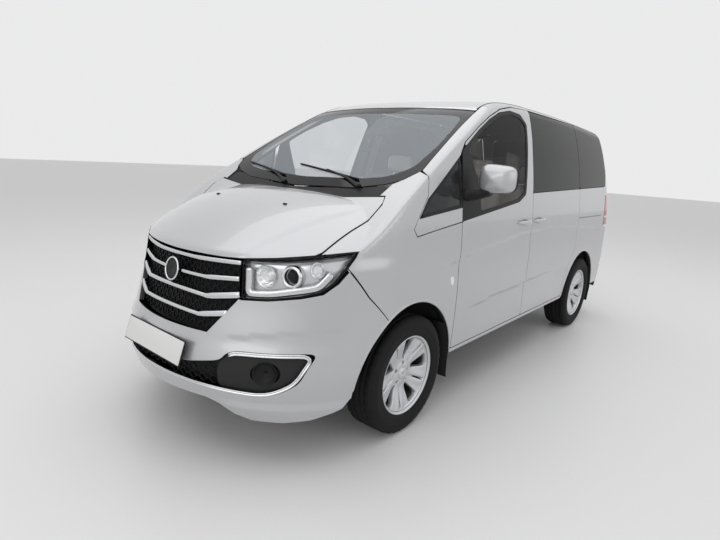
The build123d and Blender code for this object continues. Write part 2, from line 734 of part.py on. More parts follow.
def housing(radius, y, z, x_inner, core):
    """A wheel housing: half a drum over the wheel, open to the outside, with its inner wall."""
    outer_drum = tube_across(radius + liner, y, z, x_inner, housing_outer_x)
    inner_drum = tube_across(radius, y, z, x_inner + liner, housing_outer_x + 2.0)
    lower = box((0.0, outside), (y - 600.0, y + 600.0), (0.0, rail_bottom))
    behind = box((0.0, outside), (door_front - shut_gap, door_rear), (0.0, 1000.0))
    return cut_panel(outer_drum, keep=[core], cuts=[inner_drum, lower, behind])


rear_wheel_y = wheelbase - rear_arch_lead
rear_housing = housing(rear_arch_radius + 6.0, rear_wheel_y, rear_arch_height, housing_inner_x, cabin_core)
housing_middle_x = housing_inner_x + liner / 2
over_rear_wheel = tube_across(rear_arch_radius + 8.0, rear_wheel_y, rear_arch_height, housing_middle_x, outside)
floor_across = (-floor_half_width, floor_half_width)
floor_plate = box(floor_across, (bulkhead_front, tail_y - 150.0), (floor_bottom, floor_top))
floor = cut_panel(
    cut_panel(floor_plate, keep=[cabin_core], cuts=[over_rear_wheel, mirrored(over_rear_wheel)]),
    joins=[both_sides(rear_housing)],
)
save(floor, "floor")

front_housing = housing(arch_radius + 6.0, -arch_lead, arch_height, housing_inner_x - 148.0, skin_core)
save(both_sides(cut_panel(front_housing, cuts=[rail])), "wheel_housings")
bulkhead = box(floor_across, (bulkhead_front, bulkhead_front + 20.0), (floor_top, bulkhead_top))
save(bulkhead, "bulkhead")

# ---------------------------------------------------------------- cabin
dashboard_outline = (
    (-40.0, 1180.0), (360.0, 1210.0), (600.0, 1130.0), (610.0, 1000.0), (520.0, 760.0), (445.0, 760.0),
    (445.0, bulkhead_top + seat_gap), (-40.0, bulkhead_top + seat_gap),
)
dashboard = side_prism(dashboard_outline, -floor_half_width + 20.0, floor_half_width - 20.0)
steering_tilt = 62.0
wheel_centre = (370.0, 735.0, 1085.0)
with BuildPart() as steering_wheel:
    face = Plane(origin=(wheel_centre[0], front_axle_y + wheel_centre[1], wheel_centre[2]), x_dir=(1, 0, 0),
                 z_dir=(0, sin(radians(steering_tilt)), cos(radians(steering_tilt))))
    with BuildSketch(face.offset(-12.0)):
        Circle(190.0)
        Circle(163.0, mode=Mode.SUBTRACT)
    extrude(amount=26.0)
    with BuildSketch(face.offset(-14.0)):
        Circle(62.0)
        for angle in (0.0, 180.0, 270.0):
            with Locations(Location((0, 0, 0), (0, 0, angle))):
                with Locations((110.0, 0.0)):
                    Rectangle(118.0, 34.0)
    extrude(amount=14.0)
save(steering_wheel.part, "steering_wheel")
with BuildPart() as column:
    with BuildSketch(face.offset(-14.0 - seat_gap)):
        Circle(28.0)
    extrude(amount=-170.0)
save(cut_panel(dashboard, joins=[column.part]), "dashboard")
cushion_bottom = floor_top + 122.0


def seat(x_middle, seat_width, y_front, back_top):
    """One seat: pedestal, cushion, leaning back and headrest."""
    x_range = (x_middle - seat_width / 2, x_middle + seat_width / 2)
    base_x = (x_range[0] + 60, x_range[1] - 60)
    base = box(base_x, (y_front + 60, y_front + 460), (floor_top + seat_gap, cushion_bottom))
    cushion = box(x_range, (y_front, y_front + 500.0), (cushion_bottom, cushion_bottom + 135.0))
    back_bottom = cushion_bottom + 100.0
    back = side_prism(((y_front + 400, back_bottom), (y_front + 520, back_bottom), (y_front + 640, back_top),
                       (y_front + 540, back_top)), x_range[0], x_range[1])
    rest_x = (x_middle - 130, x_middle + 130)
    rest = box(rest_x, (y_front + 550, y_front + 650), (back_top - 10, back_top + 200.0))
    return cut_panel(cushion, joins=[base, back, rest])


front_seats = both_sides(seat(375.0, 500.0, 850.0, 1330.0))
save(front_seats, "front_seats")
save(both_sides(seat(400.0, 500.0, 1850.0, 1300.0)), "second_row_seats")
save(both_sides(seat(294.0, 570.0, wheelbase - 190.0, 1290.0)), "third_row_seats")


# ---------------------------------------------------------------- small outside pieces
flap_thickness = 6.0
flap_inner = wheel_x - 60.0
flap_outer = half_width - 45.0
flap_neck = half_width - door_wall - 2 * rear_taper - 12.0


def mud_flap(liner_radius, centre_y, centre_z, top_z, bottom_z, rake):
    """A flap hung on the back of a wheel housing, leaning back as it goes down, wide below the sill."""
    reach = sqrt(liner_radius ** 2 - (top_z - centre_z) ** 2)
    back = centre_y + reach - seat_gap
    outline = (
        (back - flap_thickness, top_z), (back, top_z), (back + rake, bottom_z),
        (back + rake - flap_thickness, bottom_z),
    )
    beside_sill = box((flap_neck, outside), (back - 100.0, back + 100.0),
                      (sill_bottom - shut_gap, top_z + 10.0))
    return cut_panel(side_prism(outline, flap_inner, flap_outer), cuts=[beside_sill])


front_flap = mud_flap(arch_radius + 6.0, -arch_lead, arch_height, 470.0, 190.0, 50.0)
rear_flap = mud_flap(rear_arch_radius + 6.0, rear_wheel_y, rear_arch_height, 460.0, 200.0, 40.0)
save(both_sides(cut_panel(front_flap, joins=[rear_flap])), "mud_flaps")

wiper_rise = 16.0


def wiper(pivot, elbow, blade_start, blade_end):
    """A wiper lying on the screen: an arm to the blade's middle, and the blade, seen from above."""
    def bar(start, end, half):
        run_x, run_y = end[0] - start[0], end[1] - start[1]
        scale = half / sqrt(run_x ** 2 + run_y ** 2)
        side = (-run_y * scale, run_x * scale)
        corners = [(start[0] + side[0], start[1] + side[1]), (start[0] - side[0], start[1] - side[1]),
                   (end[0] - side[0], end[1] - side[1]), (end[0] + side[0], end[1] + side[1])]
        with BuildPart() as strip:
            with BuildSketch(Plane.XY.offset(1100.0)):
                with BuildLine():
                    Polyline([(x, front_axle_y + y) for x, y in corners], close=True)
                make_face()
            extrude(amount=900.0)
        return strip.part
    under_wiper_tops = height_field(screen_height, -400.0, 900.0, 21, -wiper_rise)
    over_skin = cut_panel(under_wiper_tops, cuts=[height_field(screen_height, -450.0, 950.0, 22, -seat_gap)])
    over_glass = cut_panel(under_wiper_tops, cuts=[
        height_field(screen_height, -450.0, 950.0, 22, glass_depth - seat_gap),
    ])
    arm = cut_panel(over_skin, keep=[bar(pivot, elbow, 11.0)])
    blade = cut_panel(over_glass, keep=[bar(blade_start, blade_end, 8.0)])
    return cut_panel(arm, joins=[blade])


wipers = cut_panel(
    wiper((470.0, -76.0), (150.0, 14.0), (430.0, -30.0), (-110.0, 45.0)),
    joins=[wiper((-100.0, -98.0), (-420.0, 2.0), (-150.0, -50.0), (-600.0, 40.0))],
)
save(wipers, "wipers")
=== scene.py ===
"""The minivan's visible pieces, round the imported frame.

Shapes are worked out in millimetres, with y measured backwards from the front axle, and turned into
metres in the frame's own axes when a mesh is made.
"""

import json
from math import cos, pi, radians, sin

import bmesh
import bpy
import numpy as np
from mathutils import Matrix, Vector
from mathutils.geometry import delaunay_2d_cdt


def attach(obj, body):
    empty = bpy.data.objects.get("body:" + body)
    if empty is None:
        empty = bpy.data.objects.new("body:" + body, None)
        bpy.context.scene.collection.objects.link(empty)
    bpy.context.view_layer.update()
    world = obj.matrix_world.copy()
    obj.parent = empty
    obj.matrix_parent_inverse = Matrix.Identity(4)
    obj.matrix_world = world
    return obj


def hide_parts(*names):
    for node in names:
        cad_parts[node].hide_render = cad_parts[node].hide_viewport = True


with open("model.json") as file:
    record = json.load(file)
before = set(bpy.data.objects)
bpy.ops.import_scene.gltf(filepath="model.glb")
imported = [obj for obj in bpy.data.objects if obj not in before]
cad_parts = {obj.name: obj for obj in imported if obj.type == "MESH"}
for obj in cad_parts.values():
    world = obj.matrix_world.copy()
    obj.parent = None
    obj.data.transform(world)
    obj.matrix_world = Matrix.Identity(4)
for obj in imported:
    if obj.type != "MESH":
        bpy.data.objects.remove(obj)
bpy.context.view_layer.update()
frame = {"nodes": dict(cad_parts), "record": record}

X, Y, Z = 0, 1, 2
FRONT_AXLE_Y = -1.3075
WHEELBASE = 2810.0
HALF_WIDTH = 865.0
FRONT_OVERHANG = 1015.0
TAIL = 3630.0
HEIGHT = 1925.0
AXLE_HEIGHT = 331.0
WHEEL_X = 750.0

# ---------------------------------------------------------------- materials
SLOTS = {}


def add_node(tree, kind, inputs=(), operation=None):
    """A new shader node. An input takes a value or another node's output."""
    made = tree.nodes.new("ShaderNode" + kind)
    if operation:
        made.operation = operation
    for key, value in dict(inputs).items():
        if isinstance(value, bpy.types.NodeSocket):
            tree.links.new(value, made.inputs[key])
        else:
            made.inputs[key].default_value = value
    return made


def fine_grain_group():
    """Colour, roughness and normal that vary over a surface: a fine grain over a slow drift."""
    group = bpy.data.node_groups.new("fine_grain", "ShaderNodeTree")
    for name, kind, value in (
            ("Colour", "Color", (0.5, 0.5, 0.5, 1)), ("Grain Scale", "Float", 400.0), ("Colour Change", "Float", 0.1),
            ("Roughness", "Float", 0.5), ("Roughness Change", "Float", 0.1), ("Bump", "Float", 0.1)):
        socket = group.interface.new_socket(name, in_out="INPUT", socket_type="NodeSocket" + kind)
        socket.default_value = value
    for name, kind in (("Colour", "Color"), ("Roughness", "Float"), ("Normal", "Vector")):
        group.interface.new_socket(name, in_out="OUTPUT", socket_type="NodeSocket" + kind)
    asked = group.nodes.new("NodeGroupInput").outputs
    end = group.nodes.new("NodeGroupOutput")
    place = add_node(group, "TexCoord").outputs["Object"]
    grain = add_node(group, "TexNoise", {"Vector": place, "Scale": asked["Grain Scale"]}).outputs["Fac"]
    drift = add_node(group, "TexNoise", {"Vector": place, "Scale": 3.5}).outputs["Fac"]

    def centred(source, amount):
        """1 plus the noise's swing about its middle, times an amount."""
        swing = add_node(group, "Math", {0: source, 1: 0.5}, "SUBTRACT").outputs[0]
        return add_node(group, "Math", {0: swing, 1: amount, 2: 1.0}, "MULTIPLY_ADD").outputs[0]

    tint = add_node(group, "VectorMath", {0: asked["Colour"], "Scale": centred(grain, asked["Colour Change"])}, "SCALE")
    rough = add_node(group, "Math", {0: asked["Roughness"], 1: centred(drift, asked["Roughness Change"])}, "MULTIPLY")
    bump = add_node(group, "Bump", {"Distance": 0.0004, "Strength": asked["Bump"], "Height": grain})
    group.links.new(tint.outputs["Vector"], end.inputs["Colour"])
    group.links.new(rough.outputs[0], end.inputs["Roughness"])
    group.links.new(bump.outputs["Normal"], end.inputs["Normal"])
    return group


FINE_GRAIN = fine_grain_group()


def finish(name, slot, colour, scale, change, bump=0.0, metallic=0.0, roughness=0.5, coat=0.0, transmission=0.0,
           alpha=1.0, shine=0.5):
    """A grained material, and the record's slot for its pieces unless they name another."""
    material = bpy.data.materials.new(name)
    material.use_nodes = True
    SLOTS[material.name] = slot
    tree = material.node_tree
    shader = tree.nodes["Principled BSDF"]
    grain = add_node(tree, "Group")
    grain.node_tree = FINE_GRAIN
    for inputs, values in (
            (shader.inputs, {"Base Color": (*colour, 1.0), "Metallic": metallic, "Roughness": roughness, "Alpha": alpha,
                             "Specular IOR Level": shine, "Coat Weight": coat, "Coat Roughness": 0.03,
                             "Transmission Weight": transmission}),
            (grain.inputs, {"Colour": (*colour, 1.0), "Grain Scale": scale, "Colour Change": change,
                            "Roughness": roughness, "Roughness Change": 0.25, "Bump": bump})):
        for key, value in values.items():
            inputs[key].default_value = value
    tree.links.new(grain.outputs["Colour"], shader.inputs["Base Color"])
    tree.links.new(grain.outputs["Roughness"], shader.inputs["Roughness"])
    if bump:
        tree.links.new(grain.outputs["Normal"], shader.inputs["Normal"])
    return material


PAINT = finish("silver_paint", "silver_paint", (0.50, 0.505, 0.52), 2600.0, 0.3, metallic=0.55, roughness=0.36,
               coat=1.0)
# a darker copy of the silver paint: painted shade in the handle cups and along the slider rail
SHADED_PAINT = finish("handle_cup_paint", "silver_paint", (0.20, 0.205, 0.215), 2600.0, 0.3, metallic=0.4, roughness=0.4,
                    coat=0.6)
BLACK_PLASTIC = finish("black_plastic", "black_plastic", (0.010, 0.010, 0.011), 900.0, 0.3, 0.15, roughness=0.45,
                       shine=0.2)
RUBBER = finish("tyre_rubber", "rubber", (0.011, 0.011, 0.012), 500.0, 0.35, 0.3, roughness=0.75, shine=0.2)
ALLOY = finish("wheel_alloy", "wheel_alloy", (0.60, 0.61, 0.63), 2000.0, 0.2, metallic=0.65, roughness=0.3, coat=0.7)
SATIN_CHROME = finish("satin_chrome", None, (0.66, 0.67, 0.68), 900.0, 0.06, metallic=1.0, roughness=0.2)
CHROME = finish("lamp_chrome", "lamp_lens", (0.80, 0.81, 0.82), 500.0, 0.05, metallic=1.0, roughness=0.09)
CLEAR_GLASS = finish("clear_glass", "clear_glass", (0.90, 0.95, 0.93), 300.0, 0.03, roughness=0.01, transmission=1.0,
                     alpha=0.35)
SMOKED_GLASS = finish("smoked_glass", "dark_glass", (0.02, 0.022, 0.024), 300.0, 0.1, roughness=0.04, alpha=0.88,
                      shine=0.2)
DARK_GLASS = finish("dark_glass", "dark_glass", (0.010, 0.011, 0.012), 300.0, 0.15, roughness=0.05, shine=0.13)
BLACK_GLASS = finish("screen_border_glass", "clear_glass", (0.006, 0.006, 0.007), 300.0, 0.1, roughness=0.07, shine=0.2)
LENS = finish("clear_lamp_cover", "lamp_lens", (0.92, 0.94, 0.96), 300.0, 0.02, roughness=0.01, transmission=1.0,
              alpha=0.22)
LAMP = finish("lamp_lens", "lamp_lens", (0.86, 0.87, 0.89), 200.0, 0.06, metallic=0.35, roughness=0.16, coat=1.0)
RED_LENS = finish("red_lens", "red_lens", (0.38, 0.008, 0.010), 300.0, 0.15, roughness=0.08, coat=1.0)
PLATE = finish("white_plate", None, (0.72, 0.72, 0.71), 600.0, 0.04, roughness=0.35, coat=0.3)
MIRROR = finish("mirror_glass", None, (0.80, 0.81, 0.82), 200.0, 0.02, metallic=1.0, roughness=0.02)
TRIM = finish("grey_trim", "grey_trim", (0.22, 0.215, 0.205), 700.0, 0.25, 0.2, roughness=0.6)
BLACK_TRIM = finish("black_trim", "black_trim", (0.020, 0.020, 0.021), 700.0, 0.3, 0.25, roughness=0.55, shine=0.25)
PALE_TRIM = finish("pale_lining", "grey_trim", (0.50, 0.49, 0.47), 700.0, 0.25, 0.25, roughness=0.8)
DASH_TRIM = finish("dashboard_trim", "black_trim", (0.060, 0.060, 0.064), 700.0, 0.3, 0.3, roughness=0.6)
SCREEN_GLASS = finish("screen_glass", "clear_glass", (0.60, 0.66, 0.71), 300.0, 0.03, roughness=0.02, alpha=0.36)
CLOTH = finish("seat_cloth", "seat_cloth", (0.50, 0.47, 0.43), 1200.0, 0.45, 0.7, roughness=0.9)
CHASSIS = finish("chassis_black", "chassis_black", (0.018, 0.018, 0.019), 300.0, 0.45, 0.3, roughness=0.55, shine=0.25)
CAST_METAL = finish("cast_metal", "wheel_alloy", (0.24, 0.24, 0.245), 400.0, 0.4, 0.4, metallic=0.7, roughness=0.55)
EXHAUST = finish("exhaust_steel", "exhaust_steel", (0.34, 0.32, 0.30), 250.0, 0.5, 0.2, metallic=0.9, roughness=0.45)
# near-black for the turned-in edges of painted panels: painted shade down the shut lines, where the real edges are
# silver paint
SHUT_LINE_SHADE = finish("shut_line_painted_shade", None, (0.045, 0.045, 0.048), 600.0, 0.3, roughness=0.6, shine=0.2)

FINISHES = {
    "silver_paint": PAINT, "dark_glass": DARK_GLASS, "clear_glass": CLEAR_GLASS, "black_plastic": BLACK_PLASTIC,
    "lamp_lens": LAMP, "red_lens": RED_LENS, "chassis_black": CHASSIS, "underbody": CHASSIS, "cast_metal": CAST_METAL,
    "exhaust_steel": EXHAUST, "grey_trim": TRIM, "black_trim": BLACK_TRIM, "seat_cloth": CLOTH, "rubber": RUBBER,
    "tyre": RUBBER, "wheel_alloy": ALLOY,
}
for subpart in frame["record"]["subparts"]:
    node = frame["nodes"][subpart["node"]]
    node.data.materials.clear()
    node.data.materials.append(FINISHES[subpart["material_slot"]])

# ---------------------------------------------------------------- the body's one outer surface
# height, inset of the side, setback of the nose, depth of the nose's curve, setback of the tail
STATIONS = np.array((
    (190.0, 27.0, 95.0, 640.0, 70.0),
    (330.0, 13.0, 32.0, 690.0, 28.0),
    (480.0, 4.0, 2.2, 720.0, 6.0),
    (640.0, 0.0, 50.0, 700.0, 0.0),
    (800.0, 0.0, 103.0, 660.0, 4.0),
    (950.0, 1.0, 135.0, 620.0, 14.0),
    (1100.0, 8.0, 155.0, 600.0, 30.0),
    (1300.0, 30.0, 180.0, 590.0, 60.0),
    (1500.0, 65.0, 210.0, 580.0, 100.0),
    (1700.0, 112.0, 240.0, 570.0, 150.0),
    (1850.0, 163.0, 265.0, 560.0, 196.0),
    (1960.0, 208.0, 285.0, 550.0, 235.0),
))
LEVELS = STATIONS[:, 0]
SLOPES = np.gradient(STATIONS[:, 1:], LEVELS, axis=0)
REAR_TAPER = 14.0
CORNER_WIDTH = 260.0
CORNER_DEPTH = 200.0
SEAM_X = 700.0


def stations_at(z):
    """The four station values at a height, on a smooth curve through the stations."""
    z = np.clip(z, LEVELS[0], LEVELS[-1] - 1e-6)
    low = np.clip(np.searchsorted(LEVELS, z, side="right") - 1, 0, len(LEVELS) - 2)
    step = LEVELS[low + 1] - LEVELS[low]
    t = ((z - LEVELS[low]) / step)[..., None]
    step = step[..., None]
    start, end = STATIONS[low, 1:], STATIONS[low + 1, 1:]
    value = (2 * t**3 - 3 * t**2 + 1) * start + (t**3 - 2 * t**2 + t) * SLOPES[low] * step
    value = value + (3 * t**2 - 2 * t**3) * end + (t**3 - t**2) * SLOPES[low + 1] * step
    return np.moveaxis(value, -1, 0)


def soft_max(a, b, width):
    overlap = np.maximum(width - np.abs(a - b), 0.0)
    return np.maximum(a, b) + overlap**2 / (4 * width)


def smooth_step(value, low, high):
    t = np.clip((value - low) / (high - low), 0.0, 1.0)
    return t * t * (3 - 2 * t)


def oval_distance(u, v, a, b):
    s = np.sqrt(u * u + v * v) + 1e-6
    return (s - 1) * s / (np.sqrt((u / a) ** 2 + (v / b) ** 2) + 1e-9)


def waist_distance(x, y, z):
    """Distance outside the body's plan outline at each height."""
    inset, nose_setback, depth, tail_setback = stations_at(z)
    x = np.abs(x)
    half = HALF_WIDTH - inset
    nose_end = nose_setback - FRONT_OVERHANG + depth
    tail = TAIL - tail_setback
    turn_y = tail - CORNER_DEPTH
    turn_x = half - REAR_TAPER - CORNER_WIDTH
    nose = oval_distance((nose_end - y) / depth, x / half, depth, half)
    side = x - (half - REAR_TAPER * np.clip((y - nose_end) / (turn_y - nose_end), 0.0, 1.0))
    corner = oval_distance((y - turn_y) / CORNER_DEPTH, np.maximum(x - turn_x, 0.0) / CORNER_WIDTH, CORNER_DEPTH,
        CORNER_WIDTH)
    back = np.where(x > turn_x, corner, y - tail)
    return np.where(y < nose_end, nose, np.where(y > turn_y, back, side))


def bonnet_height(x, y):
    fall = 305.0 * (np.maximum(100.0 - y, 0.0) / 1000.0) ** 2.53
    side_fall = np.maximum(54.0 - 0.165 * (y + 129.0), 20.0)
    x = np.abs(x)
    return HEIGHT - 635.0 - fall - side_fall * (x / SEAM_X) ** 2.5 - np.maximum(x - SEAM_X, 0.0) ** 2 / 560.0


def screen_height(x, y):
    run = y + 130.0
    bow = 20.0 * (1 - ((run - 415.0) / 415.0) ** 2)
    return HEIGHT - 645.0 + 0.66 * run + bow - (8.4 + 0.083 * y) * (x / SEAM_X) ** 2


def roof_height(x, y):
    crest = 1500.0
    front = 85.0 * (np.maximum(crest - y, 0.0) / 800.0) ** 2.2
    back = 60.0 * (np.maximum(y - crest, 0.0) / 1900.0) ** 2
    return HEIGHT - front - back - 18.0 * (x / 650.0) ** 2


def styling(x, y, z):
    """How far the creases and scoops press the skin in."""
    x = np.abs(x)
    # the bonnet falls away outside two creases that spread towards its rear corners
    crease = 395.0 + 0.34 * (y + 850.0)
    bonnet = 11.0 * smooth_step(x - crease, -5.0, 30.0) * smooth_step(z, 960.0, 1030.0) * smooth_step(-y, 150.0,
        330.0)
    # the doors are scooped between the rising lower crease and the sill
    line = np.interp(y, (470.0, 850.0, 1500.0, 2300.0), (600.0, 628.0, 650.0, 664.0))
    scoop = 11.0 * smooth_step(line - z, -3.0, 14.0) * smooth_step(z, 400.0, 590.0) * smooth_step(y, 470.0, 900.0)
    scoop = scoop * (1 - smooth_step(y, 2150.0, 2420.0))
    # a soft shoulder line rises from the front wheel to the handles and falls again to the tail
    line = np.interp(y, (100.0, 686.0, 1300.0, 1900.0, 2899.0, 3300.0), (893.0, 968.0, 1026.0, 1036.0, 968.0, 930.0))
    shoulder = 7.0 * smooth_step(line - z, -6.0, 14.0) * smooth_step(z - line, -190.0, -20.0)
    shoulder = shoulder * smooth_step(y, 60.0, 420.0) * (1 - smooth_step(y, 3000.0, 3350.0))
    # the front bumper has a crease under the lamps, and a rolled lip along its lower edge
    line = 655.0 + 0.17 * (x - 480.0)
    front = smooth_step(-y, 440.0, 560.0)
    bumper = 5.0 * smooth_step(line - z, -4.0, 16.0) * smooth_step(z, 560.0, 650.0) * smooth_step(x, 350.0, 520.0)
    lip = -9.0 * smooth_step(345.0 - z, -6.0, 30.0) * smooth_step(x, 330.0, 500.0)
    return bonnet + (scoop + shoulder) * smooth_step(x, 700.0, 800.0) + (bumper + lip) * front


def skin_distance(x, y, z):
    """Below zero inside the body, above zero outside."""
    x, y, z = np.broadcast_arrays(*(np.asarray(v, float) for v in (x, y, z)))
    cabin = soft_max((z - screen_height(x, y)) * 0.83, z - roof_height(x, y), 60.0)
    top = np.minimum(z - bonnet_height(x, y), cabin)
    rounding = np.interp(y, (-400.0, 0.0, 600.0, 1100.0), (26.0, 26.0, 40.0, 70.0))
    return soft_max(waist_distance(x, y, z), top, rounding) + styling(x, y, z)


def cast(origin, direction):
    """The skin's points on rays that start inside the body."""
    low, high = np.zeros(len(origin)), np.full(len(origin), 1500.0)
    for _ in range(32):
        middle = (low + high) / 2
        inside = skin_distance(*(origin + direction * middle[:, None]).T) < 0
        low, high = np.where(inside, middle, low), np.where(inside, high, middle)
    return origin + direction * low[:, None]


def skin_normals(points):
    """Outward directions of the skin."""
    slope = np.empty_like(points)
    for axis in range(3):
        step = np.zeros(3)
        step[axis] = 1.5
        slope[:, axis] = skin_distance(*(points + step).T) - skin_distance(*(points - step).T)
    return slope / np.linalg.norm(slope, axis=1)[:, None]


def fan(along, start, level, up, radius, turn_first=False):
    """A chart's two functions: from flat coordinates, in about millimetres of skin, to rays that fan out from a
    line, and back from points on the skin. One coordinate runs along an axis, and the other turns from level to up."""
    start, level, up = (np.array(v, float) for v in (start, level, up))
    turn, run = (0, 1) if turn_first else (1, 0)

    def rays(flat):
        angle = flat[:, turn, None] / radius
        origin = np.tile(start, (len(flat), 1))
        origin[:, along] = flat[:, run]
        return origin, np.cos(angle) * level + np.sin(angle) * up

    def unrolled(points):
        flat = np.empty((len(points), 2))
        flat[:, turn] = radius * np.arctan2((points - start) @ up, (points - start) @ level)
        flat[:, run] = points[:, along]
        return flat

    return rays, unrolled


def upright_rays(flat):
    origin = np.column_stack([flat, np.full(len(flat), 700.0)])
    return origin, np.tile((0.0, 0.0, 1.0), (len(flat), 1))


AROUND_SIDE = fan(Y, (0, 0, 1000), (1, 0, 0), (0, 0, 1), 900.0)
OVER_WING = fan(Y, (250, 0, 620), (1, 0, 0), (0, 0, 1), 620.0)
AROUND_NOSE = fan(Z, (0, -200, 0), (0, -1, 0), (1, 0, 0), 850.0, turn_first=True)
AROUND_TAIL = fan(Z, (0, 3000, 0), (0, 1, 0), (1, 0, 0), 700.0, turn_first=True)
OVER_TAIL = fan(X, (0, 3000, 1300), (0, 1, 0), (0, 0, 1), 750.0)
OVER_NOSE = fan(X, (0, -100, 700), (0, -1, 0), (0, 0, 1), 720.0)
UPRIGHT = (upright_rays, lambda points: points[:, :2])


def on_skin(chart, flat):
    return cast(*chart[0](np.asarray(flat, float).reshape(-1, 2)))


def dense(points, spacing, closed=True):
    """Points along a polyline, at most the spacing apart."""
    points = np.asarray(points, float)
    out = []
    for start, end in zip(points, np.roll(points, -1, 0) if closed else points[1:]):
        count = max(1, int(np.ceil(np.linalg.norm(end - start) / spacing)))
        out.extend(start + (end - start) * i / count for i in range(count))
    return np.array(out if closed else out + [points[-1]])


def rounded(points, radius, closed=True):
    """A polyline with its corners eased. An open one keeps its ends."""
    points = np.asarray(points, float)
    around = [np.roll(points, 1 - i, 0) for i in range(3)] if closed else [points[i:] for i in range(3)]
    out = [] if closed else [points[0]]
    for before, corner, after in zip(*around):
        start = corner + (before - corner) * min(0.45, radius / np.linalg.norm(before - corner))
        end = corner + (after - corner) * min(0.45, radius / np.linalg.norm(after - corner))
        out += [(1 - t) ** 2 * start + 2 * t * (1 - t) * corner + t**2 * end for t in (0.0, 0.2, 0.4, 0.6, 0.8, 1.0)]
    return np.array(out if closed else out + [points[-1]])


def view_along(start, direction, first, second):
    """Two functions that lay an outline, given along two axes, on the skin: a closed loop and an open run."""
    def laid(points, spacing, closed):
        flat = dense(points, spacing, closed)
        origin = np.tile(np.array(start, float), (len(flat), 1))
        origin[:, (first, second)] = flat
        return cast(origin, np.tile(np.array(direction, float), (len(flat), 1)))

    return (lambda points, spacing=14.0: laid(points, spacing, True), lambda points,
        spacing=14.0: laid(points, spacing, False))


side_loop, side_run = view_along((0, 0, 0), (1, 0, 0), Y, Z)
front_loop, front_run = view_along((0, -100, 0), (0, -1, 0), X, Z)
back_loop, back_run = view_along((0, 2900, 0), (0, 1, 0), X, Z)
top_loop, top_run = view_along((0, 0, 700), (0, 0, 1), X, Y)


def joined(*runs):
    return np.concatenate(runs)


def with_mirror(half):
    """A loop from its left half, which starts and ends on the middle line."""
    return np.concatenate([half, (half * (-1, 1, 1))[::-1][1:-1]])


def ellipse(count, wide, high, middle=(0.0, 0.0)):
    """Points round an ellipse."""
    return [(middle[0] + wide * cos(a), middle[1] + high * sin(a)) for a in np.linspace(0, 2 * pi, count,
        endpoint=False)]

# ---------------------------------------------------------------- meshes
def make_piece(name, shape, material, body="body", slot="usual", replaces=(), flip=False, normals=None):
    """A mesh object from millimetre points and faces, riding on a body."""
    points, faces = shape
    mesh = bpy.data.meshes.new(name)
    row = np.array(points, float).reshape(-1, 3) * 0.001
    row[:, 1] += FRONT_AXLE_Y
    if flip:
        row[:, 0] *= -1
        faces = [tuple(reversed(face)) for face in faces]
        normals = None if normals is None else np.asarray(normals) * (-1.0, 1.0, 1.0)
    mesh.from_pydata(row.tolist(), [], faces)
    mesh.validate()
    mesh.materials.append(material)
    mesh.shade_smooth()
    if normals is not None and len(normals) == len(mesh.vertices):
        mesh.normals_split_custom_set_from_vertices(np.asarray(normals).tolist())
    piece = bpy.data.objects.new(name, mesh)
    bpy.context.collection.objects.link(piece)
    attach(piece, body)
    slot = SLOTS[material.name] if slot == "usual" else slot
    if replaces:
        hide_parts(*replaces)
    return piece


def both_hands(name, body, build, replaces=(), **settings):
    """One piece on each side. A body or node name that holds {} takes left or right."""
    for hand, flip in (("left", False), ("right", True)):
        build(f"{name}_{hand}", body=body.format(hand), flip=flip, replaces=[node.format(hand) for node in replaces],
            **settings)


def inward(loop, amount):
    """A closed flat loop moved towards its own inside."""
    before, after = np.roll(loop, 1, 0), np.roll(loop, -1, 0)
    along = after - before
    along /= np.linalg.norm(along, axis=1)[:, None] + 1e-9
    area = np.sum(loop[:, 0] * after[:, 1] - after[:, 0] * loop[:, 1])
    turn = np.stack([-along[:, 1], along[:, 0]], 1) * (1 if area > 0 else -1)
    return loop + turn * amount


def inside_loop(points, loop):
    """Which points lie inside a closed flat loop."""
    hit = np.zeros(len(points), bool)
    for start, end in zip(loop, np.roll(loop, -1, 0)):
        crosses = (start[1] > points[:, 1]) != (end[1] > points[:, 1])
        with np.errstate(divide="ignore", invalid="ignore"):
            at = start[0] + (points[:, 1] - start[1]) * (end[0] - start[0]) / (end[1] - start[1])
        hit ^= crosses & (points[:, 0] < at)
    return hit


def cut_sheet(loops, spacing):
    """Triangles of a flat sheet: the first loop is its outline and the others are holes.
    Also gives the finished point that each loop point became."""
    outline = loops[0]
    low, high = outline.min(0), outline.max(0)
    across = np.arange(low[0] + spacing / 2, high[0], spacing)
    up = np.arange(low[1] + spacing / 2, high[1], spacing)
    grid = np.array([(a + (spacing / 2 if j % 2 else 0), b) for j, b in enumerate(up) for a in across]).reshape(-1, 2)
    keep = inside_loop(grid, inward(outline, spacing * 0.55))
    for hole in loops[1:]:
        keep &= ~inside_loop(grid, inward(hole, -spacing * 0.55))
    flat = np.concatenate(loops + [grid[keep]])
    edges, start = [], 0
    for loop in loops:
        edges += [(start + i, start + (i + 1) % len(loop)) for i in range(len(loop))]
        start += len(loop)
    result = delaunay_2d_cdt([Vector(p) for p in flat.tolist()], edges, [], 0, 1e-4)
    flat = np.array([tuple(p) for p in result[0]])
    triangles = np.array(result[2])
    middles = flat[triangles].mean(1)
    keep = inside_loop(middles, outline)
    for hole in loops[1:]:
        keep &= ~inside_loop(middles, hole)
    became = {original: new for new, originals in enumerate(result[3]) for original in originals}
    return flat, triangles[keep], became


